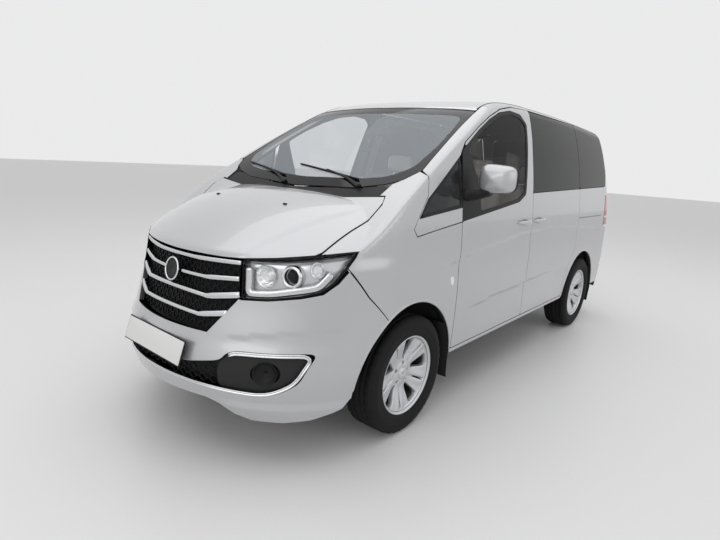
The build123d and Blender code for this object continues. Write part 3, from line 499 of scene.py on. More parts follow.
def panel_mesh(loops, chart=AROUND_SIDE, depth=0.0, edge=18.0, spacing=17.0, hem=1.6):
    """Points, faces and normals of a sheet cut from the skin: the first loop is its outline and the others are
    holes. It lies at a depth under the skin, and its edges turn inwards."""
    flat_loops = [chart[1](loop) for loop in loops]
    tops = [inward(loop, hem if i == 0 else -hem) for i, loop in enumerate(flat_loops)]
    flat, triangles, became = cut_sheet(tops, spacing)
    skin = on_skin(chart, flat)
    normals = skin_normals(skin)
    points = skin - normals * depth
    first, second, third = (points[triangles[:, i]] for i in range(3))
    outwards = np.einsum("ij,ij->i", np.cross(second - first, third - first), normals[triangles[:, 0]])
    faces = [tuple(face) if good > 0 else tuple(reversed(face)) for face, good in zip(triangles.tolist(), outwards)]
    if not edge:
        return points, faces, normals
    start = 0
    all_points, all_normals = [points], [normals]
    total = len(points)
    for i, loop in enumerate(flat_loops):
        count = len(loop)
        skin = on_skin(chart, loop)
        upright = skin_normals(skin)
        run = np.roll(skin, -1, 0) - np.roll(skin, 1, 0)
        sideways = np.cross(run, upright)
        sideways /= np.linalg.norm(sideways, axis=1)[:, None] + 1e-9
        own = np.array([points[became[start + j]] for j in range(count)])
        sign = np.where(np.einsum("ij,ij->i", skin - upright * depth - own, sideways) > 0, 1.0, -1.0)[:, None]
        sideways = sideways * sign
        for ring_depth, lean in ((hem, 0.35), (edge, 0.0)):
            all_points.append(skin - upright * (depth + ring_depth))
            ring_normals = sideways + upright * lean
            all_normals.append(ring_normals / np.linalg.norm(ring_normals, axis=1)[:, None])
        for j in range(count):
            k = (j + 1) % count
            a, b = became[start + j], became[start + k]
            c, d = total + j, total + k
            e, f = c + count, d + count
            quad, lower = (a, b, d, c), (c, d, f, e)
            test = np.cross(own[k] - own[j], all_points[-2][j] - own[j])
            if np.dot(test, sideways[j] + upright[j]) < 0:
                quad, lower = quad[::-1], lower[::-1]
            faces += [quad, lower]
        start += count
        total += 2 * count
    return np.concatenate(all_points), faces, np.concatenate(all_normals)


def panel(name, body="body", flip=False, replaces=(), material=PAINT, slot="usual", **form):
    """A sheet cut from the skin, as a piece."""
    points, faces, normals = panel_mesh(**form)
    piece = make_piece(name, (points, faces), material, body, slot, replaces, flip, normals)
    # the turned-in edges take painted shade
    if material is PAINT:
        paint_shade_on_flanges(piece, faces)
    return piece


def paint_shade_on_flanges(piece, faces):
    """Gives a painted panel's turned-in edges a near-black colour, as painted shade down the shut line."""
    piece.data.materials.append(SHUT_LINE_SHADE)
    sheet = sum(len(face) == 3 for face in faces)
    for face in list(piece.data.polygons)[sheet + 1::2]:
        face.material_index = 1


def mirrored_loop(points):
    """A left half, from the middle line to the middle line, closed with its mirror image."""
    points = np.asarray(points, float)
    other = points[::-1] * (-1, 1)
    return np.concatenate([points, other[np.abs(other[:, 0]) > 1e-6]])


def ring_faces(count, sides, closed=False):
    """Faces between rings of points. The last ring joins the first, or the two end rings are capped."""
    faces = []
    for i in range(count if closed else count - 1):
        k = (i + 1) % count
        for j in range(sides):
            m = (j + 1) % sides
            faces.append((i * sides + j, k * sides + j, k * sides + m, i * sides + m))
    if not closed:
        faces += [tuple(reversed(range(sides))), tuple((count - 1) * sides + j for j in range(sides))]
    return faces


def strip_mesh(path, normals, section):
    """A bar swept along a path on the skin. The section is (across, out) points, the same or one for each place."""
    path, section = np.asarray(path, float), np.asarray(section, float)
    run = np.gradient(path, axis=0)
    run /= np.linalg.norm(run, axis=1)[:, None] + 1e-9
    across = np.cross(normals, run)
    across /= np.linalg.norm(across, axis=1)[:, None] + 1e-9
    if section.ndim == 2:
        section = np.tile(section, (len(path), 1, 1))
    rings = path[:, None] + across[:, None] * section[..., :1] + normals[:, None] * section[..., 1:]
    return rings.reshape(-1, 3), ring_faces(len(path), section.shape[1])


def bar_section(width, proud, sunk=4.0):
    """A softly crowned bar."""
    half = width / 2
    return ((-half, -sunk), (-half, proud * 0.35), (-half * 0.86, proud * 0.8), (-half * 0.45, proud),
        (half * 0.45, proud), (half * 0.86, proud * 0.8), (half, proud * 0.35), (half, -sunk))


def strip(name, path, section, body="body", flip=False, replaces=(), material=SATIN_CHROME, slot="usual", depth=0.0):
    """A bar along the skin, as a piece. It lies at a depth under the skin."""
    normals = skin_normals(path)
    shape = strip_mesh(path - normals * depth, normals, section)
    face_out(make_piece(name, shape, material, body, slot, replaces, flip))


def face_out(piece):
    """Turns a closed mesh's faces outwards."""
    mesh = bmesh.new()
    mesh.from_mesh(piece.data)
    bmesh.ops.recalc_face_normals(mesh, faces=mesh.faces)
    mesh.to_mesh(piece.data)
    mesh.free()
    return piece


def apply_modifiers(piece):
    bpy.context.view_layer.update()
    shape = bpy.data.meshes.new_from_object(piece.evaluated_get(bpy.context.evaluated_depsgraph_get()))
    piece.modifiers.clear()
    piece.data = shape
    piece.data.shade_smooth()


def solid(name, shape, material, body="body", slot="usual", replaces=(), flip=False, bevel=0.0):
    """A closed piece from millimetre points and faces, with its sharp edges eased."""
    piece = face_out(make_piece(name, shape, material, body, slot, replaces, flip))
    if bevel:
        eased = piece.modifiers.new("edges", "BEVEL")
        eased.width, eased.segments = bevel * 0.001, 3
        eased.limit_method, eased.angle_limit = "ANGLE", radians(32.0)
        apply_modifiers(piece)


def block(x, y, z):
    """Corners and faces of a block between two values on each axis."""
    points = [(a, b, c) for a in x for b in y for c in z]
    return points, [(0, 1, 3, 2), (4, 6, 7, 5), (0, 4, 5, 1), (2, 3, 7, 6), (0, 2, 6, 4), (1, 5, 7, 3)]


def merged(*shapes):
    """Several (points, faces) shapes as one."""
    points, faces, total = [], [], 0
    for own, own_faces in shapes:
        points.append(np.asarray(own, float))
        faces += [tuple(i + total for i in face) for face in own_faces]
        total += len(own)
    return np.concatenate(points), faces


def turned_shape(profile, count):
    """A shape turned about the x axis from (x, radius) points, the same all round or given for each angle."""
    profile = np.asarray(profile, float)
    if profile.ndim == 2:
        profile = np.tile(profile, (count, 1, 1))
    angles = np.arange(count) * 2 * pi / count
    points = [(x, radius * cos(a), radius * sin(a)) for a, own in zip(angles, profile) for x, radius in own]
    return np.array(points), ring_faces(count, profile.shape[1], closed=True)


def rounded_form(rings):
    """A closed form through rings of points of the same number."""
    rings = np.asarray(rings, float)
    return rings.reshape(-1, 3), ring_faces(*rings.shape[:2])


def superoval(count, power=3.0):
    angles = np.arange(count) * 2 * pi / count
    return np.stack([np.sign(wave) * np.abs(wave) ** (2 / power) for wave in (np.cos(angles), np.sin(angles))], 1)

# ---------------------------------------------------------------- side outlines (distance back, height)
DOOR = ((416, 385), (416, 1290), (442, 1545), (485, 1592), (676, 1694), (854, 1772), (1037, 1834), (1228, 1868),
        (1528, 1879), (1480, 1602), (1452, 1296), (1452, 385))
# the edge of the door's outer frame, from its front end over the window to the low front corner
DOOR_FRAME = ((484, 1572), (664, 1675), (840, 1756), (1004, 1813), (1186, 1843), (1350, 1834), (1432, 1775),
    (1374, 1490), (1328, 1290), (1215, 1241), (895, 1204))
DOOR_GLASS = ((648, 1201), (895, 1229), (1206, 1265), (1308, 1306), (1350, 1493), (1406, 1762), (1338, 1808),
    (1189, 1818), (1010, 1788), (848, 1732), (675, 1651), (524, 1566), (640, 1335))
QUARTER_WINDOW = ((-28, 1187), (60, 1291), (411, 1518), (411, 1229))
SLIDER = ((1457, 385), (1457, 1297), (2526, 1320), (2530, 800), (2400, 640), (2335, 480), (2325, 385))
SLIDER_GLASS = ((1457, 1301), (1485, 1602), (1536, 1872), (2525, 1866), (2525, 1324))
REAR_GLASS = ((2531, 1324), (2531, 1866), (2991, 1850), (3392, 1822), (3372, 1690), (3357, 1504), (3326, 1352),
    (3296, 1341))
FRONT_ARCH = (-25.0, 322.0, 432.0)
REAR_ARCH = (WHEELBASE - 15.0, 310.0, 436.0)


def arch(centre, start, end, grow=0.0, count=26):
    """Points round a wheel arch, between two angles up from straight back."""
    y, z, radius = centre
    radius += grow
    turns = [radians(turn) for turn in np.linspace(start, end, count)]
    return [(y + radius * cos(a), z + radius * sin(a)) for a in turns]


def eased_side(points, radius=16.0, grow=0.0):
    flat = dense(rounded(points, radius), 14.0)
    return side_loop(inward(flat, -grow) if grow else flat)


# ---------------------------------------------------------------- doors
GLASS_DEPTH = 7.0
door_outline = eased_side(((416, 385), (416, 1150)) + DOOR_FRAME[::-1] + DOOR[3:])
both_hands("door_skin", "front_door_{}", panel, loops=[door_outline], replaces=["front_door_{}"])
both_hands("door_window_frame", "front_door_{}", panel, material=BLACK_PLASTIC,
    loops=[eased_side(inward(np.array(((444, 1545), (416, 1290), (416, 1149)) + DOOR_FRAME[::-1], float), 1.2)),
    eased_side(DOOR_GLASS, 24.0)], depth=2.5, edge=10.0)
both_hands("door_window_glass", "front_door_{}", panel, material=CLEAR_GLASS,
    loops=[eased_side(DOOR_GLASS, 26.0, 4.0)], depth=GLASS_DEPTH, edge=4.0, replaces=["door_glass_{}"])
DOOR_INSIDE = ((438, 407), (438, 1165), (1430, 1272), (1430, 407))
both_hands("door_lining", "front_door_{}", panel, material=TRIM, loops=[eased_side(DOOR_INSIDE, 40.0)], depth=52.0,
    edge=-30.0)

# ---------------------------------------------------------------- sliding doors and side glass
both_hands("slider_skin", "body", panel, loops=[eased_side(SLIDER)], replaces=["sliding_door_{}"])
for label, outline in (("slider_glass", SLIDER_GLASS), ("rear_side_glass", REAR_GLASS)):
    both_hands(label, "body", panel, material=DARK_GLASS, loops=[eased_side(outline, 26.0)], depth=1.2, edge=9.0,
        replaces=["side_glass"])
both_hands("quarter_glass", "body", panel, material=SMOKED_GLASS, loops=[eased_side(QUARTER_WINDOW, 10.0, -16.0)],
    depth=5.0, edge=5.0, replaces=["side_glass"])
both_hands("quarter_seal", "body", panel, material=BLACK_PLASTIC, loops=[eased_side(QUARTER_WINDOW, 4.0, -0.8),
    eased_side(QUARTER_WINDOW, 10.0, -18.0)], depth=1.5, edge=8.0)

# ---------------------------------------------------------------- pillars, rails, quarters and sills
ROOF_EDGE = 646.0
SCREEN_EDGE = ((758, 96), (730, 320), (700, 545), (674, 765))
rail_loop = joined(
    side_run(((411, 1229), (411, 1151), (120, 1120), (-43, 1101), (-71, 1137), (-36, 1186))),
    side_run(((60, 1300), (75, 1400))),
    top_run(SCREEN_EDGE),
    top_run(((ROOF_EDGE + 12.0, 840), (ROOF_EDGE, 930), (ROOF_EDGE, 3396))),
    side_run(((3396, 1829), (2991, 1857), (2531, 1873), (1540, 1882.0))),
    side_run(((1228, 1873.5), (1037, 1839.5), (854, 1777.5), (676, 1699.5), (481, 1597), (437, 1548), (415, 1519),
        (64, 1291), (56, 1287), (-27, 1191), (-23, 1187))))
both_hands("pillar_and_rail", "body", panel, loops=[rail_loop], replaces=["body_side_{}"])
sill_loop = side_loop(((412, 357), (412, 380.5), (2318, 380.5), (2362, 357)))
both_hands("sill", "body", panel, loops=[sill_loop], edge=26.0)
quarter_loop = joined(
    side_run(((2331, 357), (2331, 385), (2340, 479), (2406, 637), (2535, 797), (2532, 1320), (3296, 1336),
        (3331, 1348), (3363, 1504), (3378, 1690), (3400, 1826))),
    side_run(((3412, 1826),)),
    back_run(((632, 1790), (634, 1700), (636, 1288), (652, 1287))),
    side_run(((3335, 1264), (3335, 953))),
    back_run(((652, 930), (636, 929), (636, 560))),
    side_run(((3418, 558), (3418, 357))),
    side_run([(3234, 357)] + arch(REAR_ARCH, 8.0, 172.0)))
both_hands("rear_quarter", "body", panel, loops=[quarter_loop], chart=AROUND_TAIL)


def arch_lip(name, centre, start, end):
    """The rolled edge of a wheel arch, and the dark liner behind it."""
    path = side_run(arch(centre, start, end, grow=3.0, count=40))
    both_hands(f"{name}_liner", "body", strip, path=path, material=BLACK_PLASTIC,
        section=((-1, -60), (-1, -5), (2, -5), (2, -60)))
    both_hands(name, "body", strip, path=path, material=PAINT,
        section=((-5, -7), (-5, 1.0), (0, 2.2), (6, 1.2), (9, -3)))


arch_lip("rear_arch_lip", REAR_ARCH, 8.0, 172.0)

# ---------------------------------------------------------------- wings
WING_SEAM = ((-491, 981), (-385, 839), (-247, 703))
wing_loop = joined(
    front_run(((704, 1037), (806, 1056), (806, 1030))),
    side_run(WING_SEAM),
    side_run(arch(FRONT_ARCH, 120.5, 5.0, count=34)),
    side_run(((411, 357), (411, 1146), (120, 1116), (-45, 1096), (-76, 1137), (-36, 1190), (56, 1302), (70, 1400))),
    top_run(((752, 84), (708, 12), (664, -36), (656, -119), (690, -116), (720, -180), (710, -385), (706, -540))))
both_hands("wing", "body", panel, loops=[wing_loop], replaces=["front_wings"], chart=OVER_WING, spacing=14.0)
arch_lip("front_arch_lip", FRONT_ARCH, 8.0, 172.0)

# ---------------------------------------------------------------- roof, screen, cowl and bonnet
ROOF = mirrored_loop(((0, 704), (350, 722), (664, 775), (652, 860), (641, 930), (641, 3396), (0, 3400)))
panel("roof_skin", chart=UPRIGHT, loops=[top_loop(rounded(ROOF, 12.0))], replaces=["roof"], edge=14.0, spacing=24.0)
both_hands("roof_moulding", "body", strip, path=top_run(((657, 800), (643.5, 930), (643.5, 3392)), 40.0),
    material=BLACK_PLASTIC, section=bar_section(9.0, 1.0, 8.0))
SCREEN = mirrored_loop(((0, -108), (450, -82), (616, -36), (700, 8), (753, 92), (725, 322), (696, 545), (668, 762),
    (350, 712), (0, 694)))
SCREEN_CLEAR = mirrored_loop(((0, -40), (430, -16), (590, 20), (688, 112), (696, 322), (668, 540), (634, 668),
    (350, 624), (0, 608)))
panel("screen_border", chart=UPRIGHT, loops=[top_loop(rounded(SCREEN, 14.0)), top_loop(rounded(SCREEN_CLEAR, 50.0))],
    depth=3.2, edge=5.0, material=BLACK_GLASS, replaces=["windscreen"])
panel("screen_glass", chart=UPRIGHT, loops=[top_loop(rounded(SCREEN_CLEAR, 50.0))], depth=3.4, edge=4.0,
    material=SCREEN_GLASS, replaces=["windscreen"])
COWL = mirrored_loop(((0, -184), (350, -163), (652, -122), (648, -56), (616, -42), (450, -88), (0, -114)))
panel("cowl_cover", chart=UPRIGHT, loops=[top_loop(rounded(COWL, 6.0))], depth=7.0, material=BLACK_PLASTIC,
    replaces=["cowl"], edge=20.0)
bonnet_half = joined(front_run(((0, 990), (330, 993), (425, 998), (560, 1014), (684, 1034), (697, 1047))),
    top_run(((699, -520), (702, -385), (712, -190), (708, -160), (690, -126), (350, -168), (0, -189))))
bonnet_loop = with_mirror(bonnet_half)
panel("bonnet_skin", "bonnet", chart=OVER_NOSE, loops=[bonnet_loop], replaces=["bonnet"], edge=9.0)
BONNET_INSIDE = mirrored_loop(((0, -800), (300, -780), (480, -700), (620, -560), (660, -380), (668, -180), (0, -215)))
panel("bonnet_lining", "bonnet", chart=UPRIGHT, loops=[top_loop(rounded(BONNET_INSIDE, 30.0))], depth=20.0,
    edge=-11.0, material=CHASSIS)
for hand, side in (("left", 1), ("right", -1)):
    nozzle = on_skin(UPRIGHT, [(side * 291, -433)])[0]
    ends = [(nozzle[0] - 11, nozzle[0] + 11), (nozzle[1] - 7, nozzle[1] + 9), (nozzle[2] - 4, nozzle[2] + 6)]
    solid(f"washer_nozzle_{hand}", block(*ends), BLACK_PLASTIC, "bonnet", bevel=3.5)

# ---------------------------------------------------------------- tail
gate_half = joined(top_run(((0, 3405), (300, 3405), (560, 3404), (626, 3404))),
    back_run(((628, 1785), (630, 1700), (631, 562), (0, 562))))
gate_loop = with_mirror(gate_half)
REAR_WINDOW = ((-545, 1290), (545, 1290), (505, 1765), (-505, 1765))
rear_window_loop = back_loop(rounded(REAR_WINDOW, 45.0))
panel("tailgate_skin", "tailgate", chart=OVER_TAIL, loops=[gate_loop, rear_window_loop], replaces=["tailgate"])
panel("tailgate_window", "tailgate", chart=OVER_TAIL,
    loops=[back_loop(rounded(inward(np.array(REAR_WINDOW, float), 3.0), 45.0))], depth=2.0, edge=6.0,
    material=DARK_GLASS, replaces=["tailgate_glass"])
GATE_INSIDE = ((-560, 620), (560, 620), (555, 1228), (-555, 1228))
panel("tailgate_lining", "tailgate", chart=OVER_TAIL, loops=[back_loop(rounded(GATE_INSIDE, 40.0))], depth=36.0,
    edge=-24.0, material=TRIM)
PLATE_RECESS = ((-270, 735), (270, 735), (270, 865), (-270, 865))
panel("rear_plate_panel", "tailgate", chart=OVER_TAIL, loops=[back_loop(rounded(PLATE_RECESS, 12.0))], depth=-3.0,
    edge=8.0, material=PLATE)
strip("tailgate_garnish", back_run(((-420, 935), (420, 935)), 30.0), bar_section(34.0, 12.0), body="tailgate")
lamp_loop = joined(back_run(((655, 1284), (655, 933))), side_run(((3339, 957), (3339, 1260))))
both_hands("tail_lamp", "body", panel, chart=AROUND_TAIL, loops=[lamp_loop], material=RED_LENS, depth=-2.0, edge=26.0,
    spacing=12.0, replaces=["tail_lamps"])
clear_loop = joined(back_run(((664, 1060), (664, 1015))), side_run(((3352, 1020), (3352, 1055))))
both_hands("reversing_lamp", "body", panel, chart=AROUND_TAIL, loops=[clear_loop], material=LAMP, depth=-3.4,
    edge=5.0, spacing=12.0)
bumper_side = side_run(((3422, 305), (3422, 553)))
rear_bumper_loop = joined(
    bumper_side,
    back_run(((640, 554), (-640, 554))),
    (bumper_side * (-1, 1, 1))[::-1],
    back_run(((-640, 303), (640, 303))))
panel("rear_bumper_skin", chart=AROUND_TAIL, loops=[rear_bumper_loop], replaces=["rear_bumper"], edge=22.0)

# ---------------------------------------------------------------- handles, side lamps, mirrors and flaps
def handle(name, body, y_from, y_to, z):
    """A pull handle: a bow that stands off the skin between two feet, over a shallow cup in darker paint as painted
    shade.
    """
    middle = (y_from + y_to) / 2
    spread = np.linspace(-1, 1, 25)
    path = side_run([(middle + s * (y_to - y_from) / 2, z) for s in spread])
    path = path[np.linspace(0, len(path) - 1, 25).astype(int)]
    normals = skin_normals(path)
    lift = 30.0 * np.clip(1 - np.abs(spread) ** 5, 0, 1) ** 0.7
    half = 14.0 * np.clip(1 - np.abs(spread) ** 8, 0.12, 1) ** 0.5
    ring = np.array(ellipse(14, 1.0, 1.0))
    section = np.stack([np.stack([h * ring[:, 0], 7.5 * ring[:, 1] + up - 4.0], 1) for h, up in zip(half, lift)])
    both_hands(name, body, strip, path=path, section=section, material=PAINT)
    # the cup is the silver paint darkened, as painted shade under the bow
    both_hands(f"{name}_cup", body, panel, loops=[side_loop(ellipse(30, 62.0, 21.0, (middle, z)))],
        material=SHADED_PAINT, depth=-0.6, edge=2.0, hem=0.6, spacing=9.0)


handle("door_handle", "front_door_{}", 1205.0, 1405.0, 1098.0)
handle("slider_handle", "body", 1478.0, 1668.0, 1098.0)
both_hands("side_repeater", "body", panel, loops=[side_loop(ellipse(26, 17.0, 25.0, (346.0, 815.0)))], material=LAMP,
    depth=-4.0, edge=7.0, hem=2.5, spacing=7.0)
# the slider rail is the darker copy of the paint, as painted shade in its channel
both_hands("slider_rail", "body", strip, path=side_run(((2545, 1068), (3230, 1062)), 20.0),
    section=bar_section(12.0, 0.8, 3.0), material=SHADED_PAINT)


MIRROR_X, MIRROR_Z = 974.0, 1400.0
MIRROR_FRONT, MIRROR_DEPTH = 472.0, 105.0


def mirror_shape(front, back, grow=0.0):
    """The door mirror's head between two distances from its front: an egg-like shell."""
    rings = []
    for s in np.linspace(front, back, 15):
        fat = max(1e-4, 1 - (1 - s) ** 3.6) ** 0.45 if s < 1 else 1.0
        half_x, half_z = (102.0 + grow) * fat * (0.93 + 0.07 * s), (80.0 + grow) * fat
        oval = superoval(32, 4.2)
        x = MIRROR_X + half_x * oval[:, 0] - 6.0 * (1 - s)
        z = MIRROR_Z + half_z * oval[:, 1] * (1 - 0.10 * oval[:, 0])
        rings.append(np.stack([x, np.full(32, MIRROR_FRONT + MIRROR_DEPTH * s) + 0.10 * (x - MIRROR_X), z], 1))
    return rounded_form(rings)


def mirror_parts(name, body, flip, replaces):
    """The mirror's cap, rim, glass and foot."""
    solid(name, mirror_shape(0.0, 0.86), PAINT, body, replaces=replaces, flip=flip)
    solid(name.replace("cap", "rim"), mirror_shape(0.84, 1.0, 1.0), BLACK_PLASTIC, body, flip=flip)
    glass = superoval(32)
    ring = np.stack([MIRROR_X + 90.0 * glass[:, 0], np.full(32, 578.3) + 9.0 * glass[:, 0],
        MIRROR_Z + 68.0 * glass[:, 1] * (1 - 0.1 * glass[:, 0])], 1)
    solid(name.replace("cap", "glass"), rounded_form([ring - (0, 4, 0), ring]), MIRROR, body, flip=flip)
    foot = []
    for s in np.linspace(0, 1, 9):
        oval = superoval(20, 2.6)
        x = 822.0 + 120.0 * s
        centre_y, centre_z = 468.0 + 62.0 * s, 1298.0 + 26.0 * s ** 2
        foot.append(np.stack([np.full(20, x), centre_y + (46.0 - 14.0 * s) * oval[:, 0],
            centre_z + (34.0 - 10.0 * s) * oval[:, 1]], 1))
    solid(name.replace("cap", "foot"), rounded_form(foot), BLACK_PLASTIC, body, flip=flip)


both_hands("mirror_cap", "front_door_{}", mirror_parts, replaces=["door_mirror_{}"])


def mud_flap(name, body, flip, replaces, around):
    """A flap that lines the back of a wheel arch and hangs down below the sill."""
    y, z, _ = around
    path = arch(around, 34.0, 2.0, grow=-7.0, count=12)
    foot_y = path[-1][0]
    path += [(foot_y + 6.0, z - 40.0), (foot_y + 18.0, z - 95.0), (foot_y + 32.0, z - 137.0)]
    rings = []
    for back, height in path:
        run = np.array((back - y, max(height - z, -60.0)))
        out_y, out_z = 6.0 * run / np.linalg.norm(run)
        outer = 846.0 - 0.11 * max(z - height, 0.0)
        rings.append([(692.0, back, height), (outer, back, height), (outer, back + out_y, height + out_z),
                      (692.0, back + out_y, height + out_z)])
    solid(name, rounded_form(rings), RUBBER, body, replaces=replaces, flip=flip)


both_hands("mud_flap_front", "body", mud_flap, around=FRONT_ARCH, replaces=["mud_flaps"])
both_hands("mud_flap_rear", "body", mud_flap, around=REAR_ARCH, replaces=["mud_flaps"])

# ---------------------------------------------------------------- nose
def across_nose(left_path):
    """A path from the left side to the middle line, carried on to the right side."""
    left = np.asarray(left_path, float)
    return joined(left, (left * (-1, 1))[::-1][1:])


def aimed(shape, centre, direction):
    """A shape turned about the x axis, moved to a centre with its axis along a direction."""
    points, faces = shape
    ahead = np.asarray(direction, float) / np.linalg.norm(direction)
    side = np.cross(ahead, (0.0, 0.0, 1.0))
    side /= np.linalg.norm(side)
    top = np.cross(side, ahead)
    return np.asarray(centre, float) + points[:, :1] * ahead + points[:, 1:2] * side + points[:, 2:] * top, faces


def bowl(radius, depth, count=40):
    """A round dish that opens along x."""
    return turned_shape(((0, radius), (-depth * 0.35, radius * 0.92), (-depth * 0.75, radius * 0.7),
        (-depth, radius * 0.35), (-depth, 0.5), (-depth - 3, 0.5), (-depth - 3, radius * 0.4),
        (-depth * 0.8, radius * 0.78), (-depth * 0.35, radius * 0.99), (0, radius + 2.5)), count)


def honeycomb(chart, region, depth, pitch, rise, thickness=2.2):
    """The bars of a mesh of long hexagons inside a region of the skin."""
    loop = chart[1](region)
    low, high = loop.min(0), loop.max(0)
    section = ((-thickness, -7.0), (-thickness, 0.0), (thickness, 0.0), (thickness, -7.0))
    bars = []
    for row, level in enumerate(np.arange(low[1], high[1] + rise, rise)):
        across = np.arange(low[0], high[0], pitch / 4)
        wave = np.where(np.arange(len(across)) % 4 < 2, 0.5, -0.5) * (1 if row % 2 else -1)
        line = np.stack([across, level + wave * rise], 1)
        inside = joined([False], inside_loop(line, loop), [False])
        turns = np.flatnonzero(inside[1:] != inside[:-1])
        for start, end in zip(turns[::2], turns[1::2]):
            if end - start > 2:
                run = on_skin(chart, line[start:end])
                normals = skin_normals(run)
                bars.append(strip_mesh(run - normals * depth, normals, section))
    return merged(*bars)


MOUTH = mirrored_loop(((0, 500), (250, 505), (420, 540), (440, 575), (480, 590), (757, 594), (716, 452), (652, 404),
                       (590, 383), (480, 388), (250, 402), (0, 408)))
MOUTH_MESH = mirrored_loop(((0, 497), (250, 502), (404, 532), (400, 398), (250, 405), (0, 411)))
mouth_loop = front_loop(rounded(MOUTH, 34.0))
bumper_half = joined(
    front_run(((0, 648), (322, 648), (434, 813), (447, 811), (560, 819), (677, 840), (742, 861), (780, 910),
        (804, 966))),
    side_run(((-496, 976), (-390, 836), (-252, 703))),
    side_run(arch(FRONT_ARCH, 121.5, 174.0)),
    side_run(((-456, 352), (-500, 304), (-560, 286))),
    front_run(((740, 262), (650, 246), (534, 248), (462, 276), (404, 318), (340, 336), (250, 338), (0, 332))))
bumper_loop = with_mirror(bumper_half)
panel("bumper_skin", chart=AROUND_NOSE, loops=[bumper_loop, mouth_loop], replaces=["front_bumper"], edge=26.0)
panel("mouth_recess", chart=AROUND_NOSE, loops=[mouth_loop], material=BLACK_PLASTIC, replaces=["lower_grille"],
    depth=44.0, edge=-40.0)
solid("mouth_mesh", honeycomb(AROUND_NOSE, front_loop(MOUTH_MESH), 24.0, 62.0, 21.0), BLACK_PLASTIC)

FOG_PLATE = ((410, 530), (440, 572), (482, 584), (744, 587), (706, 457), (644, 410), (588, 391), (480, 396),
    (410, 400))
FOG_CENTRE = (604.0, 494.0)
FOG_RADIUS = 54.0
fog_circle = ellipse(36, FOG_RADIUS, FOG_RADIUS, FOG_CENTRE)
both_hands("fog_plate", "body", panel, chart=AROUND_NOSE, material=BLACK_TRIM, slot="black_plastic",
    loops=[front_loop(rounded(FOG_PLATE, 30.0)), front_loop(fog_circle, 30.0)], depth=17.0, edge=10.0, spacing=13.0)


def fog_recess(name, body, flip, replaces):
    """The round dish behind the fog lamp."""
    centre = front_loop((FOG_CENTRE,))
    normal = skin_normals(centre)[0]
    shape = aimed(bowl(FOG_RADIUS + 1.0, 24.0), centre[0] - normal * 18.0, normal)
    solid(name, shape, BLACK_PLASTIC, body, replaces=replaces, flip=flip)


both_hands("fog_recess", "body", fog_recess)
TWO_LINES = ((-9, -5), (-9, 2), (-7.5, 4), (-2.5, 4), (-1.2, 0.5), (1.2, 0.5), (2.5, 4), (7.5, 4), (9, 2), (9, -5))
mouth_strip = across_nose(rounded(((452, 568), (482, 580), (748, 584), (706, 457), (646, 412), (589, 393), (480, 398),
    (250, 411), (0, 417)), 46.0, closed=False))
strip("mouth_strip", front_run(mouth_strip, 12.0), TWO_LINES, depth=2.0)

# ---------------------------------------------------------------- grille
GRILLE = mirrored_loop(((0, 983), (419, 991), (436, 816), (332, 655), (0, 655)))
grille_loop = front_loop(rounded(GRILLE, 10.0))
panel("grille_recess", chart=AROUND_NOSE, loops=[grille_loop], material=BLACK_PLASTIC, replaces=["grille"],
    depth=52.0, edge=-50.0)
solid("grille_mesh", honeycomb(AROUND_NOSE, grille_loop, 32.0, 62.0, 21.0), BLACK_PLASTIC)


def grille_bar(name, height, drop, end_height, end_x, kink, widths, start_x=0.0):
    """A satin bar across the grille: it sags to a kink, and widens from there to its upturned end."""
    across = np.linspace(start_x, end_x, 41)
    level = np.where(across < kink, height - drop * (across / kink) ** 2,
                     height - drop + (end_height - height + drop) * (across - kink) / (end_x - kink))
    half = np.interp(across, (kink - 15.0, kink + 30.0), widths) / 2
    line = np.stack([across, level], 1)[::-1]
    edge = ((-1, -12), (-1, 3), (-0.85, 7), (-0.4, 9), (0.4, 9), (0.85, 7), (1, 3), (1, -12))
    section = np.stack([np.stack([s * half[::-1], np.full(41, out)], 1) for s, out in edge], 1)
    if start_x:
        both_hands(name, "body", strip, path=front_run(line, 900.0), section=section, depth=11.0)
        return
    section = joined(section, section[::-1][1:])
    strip(name, front_run(across_nose(line), 900.0), section, depth=11.0)


grille_bar("grille_bar_top", 968.0, 0.0, 976.0, 420.0, 160.0, (20.0, 22.0))
grille_bar("grille_bar_second", 888.0, 0.0, 903.0, 420.0, 240.0, (17.0, 23.0), start_x=66.0)
grille_bar("grille_bar_third", 812.0, 9.0, 832.0, 434.0, 265.0, (20.0, 30.0))
grille_bar("grille_bar_lowest", 724.0, 7.0, 744.0, 392.0, 245.0, (19.0, 28.0))

BADGE_HEIGHT = 885.0
badge_place = front_loop(((0, BADGE_HEIGHT),))
badge_normal = skin_normals(badge_place)[0]
badge_ring = turned_shape(ellipse(12, 5.0, 5.0, (4.0, 55.0)), 64)
badge_disc = turned_shape(((3, 0.5), (3, 40), (1, 52), (-12, 52), (-12, 0.5)), 64)
solid("badge_ring", aimed(badge_ring, badge_place[0], badge_normal), SATIN_CHROME)
solid("badge_disc", aimed(badge_disc, badge_place[0], badge_normal), BLACK_TRIM, slot=None)

# ---------------------------------------------------------------- headlamps
HEADLAMP = ((427, 993), (446, 818), (560, 826), (675, 847), (737, 868), (773, 914), (796, 972), (800, 1052),
    (700, 1031), (560, 1009))
lamp_flat = rounded(HEADLAMP, 14.0)


def lamp_loop_inset(amount):
    return front_loop(inward(dense(lamp_flat, 12.0), amount))


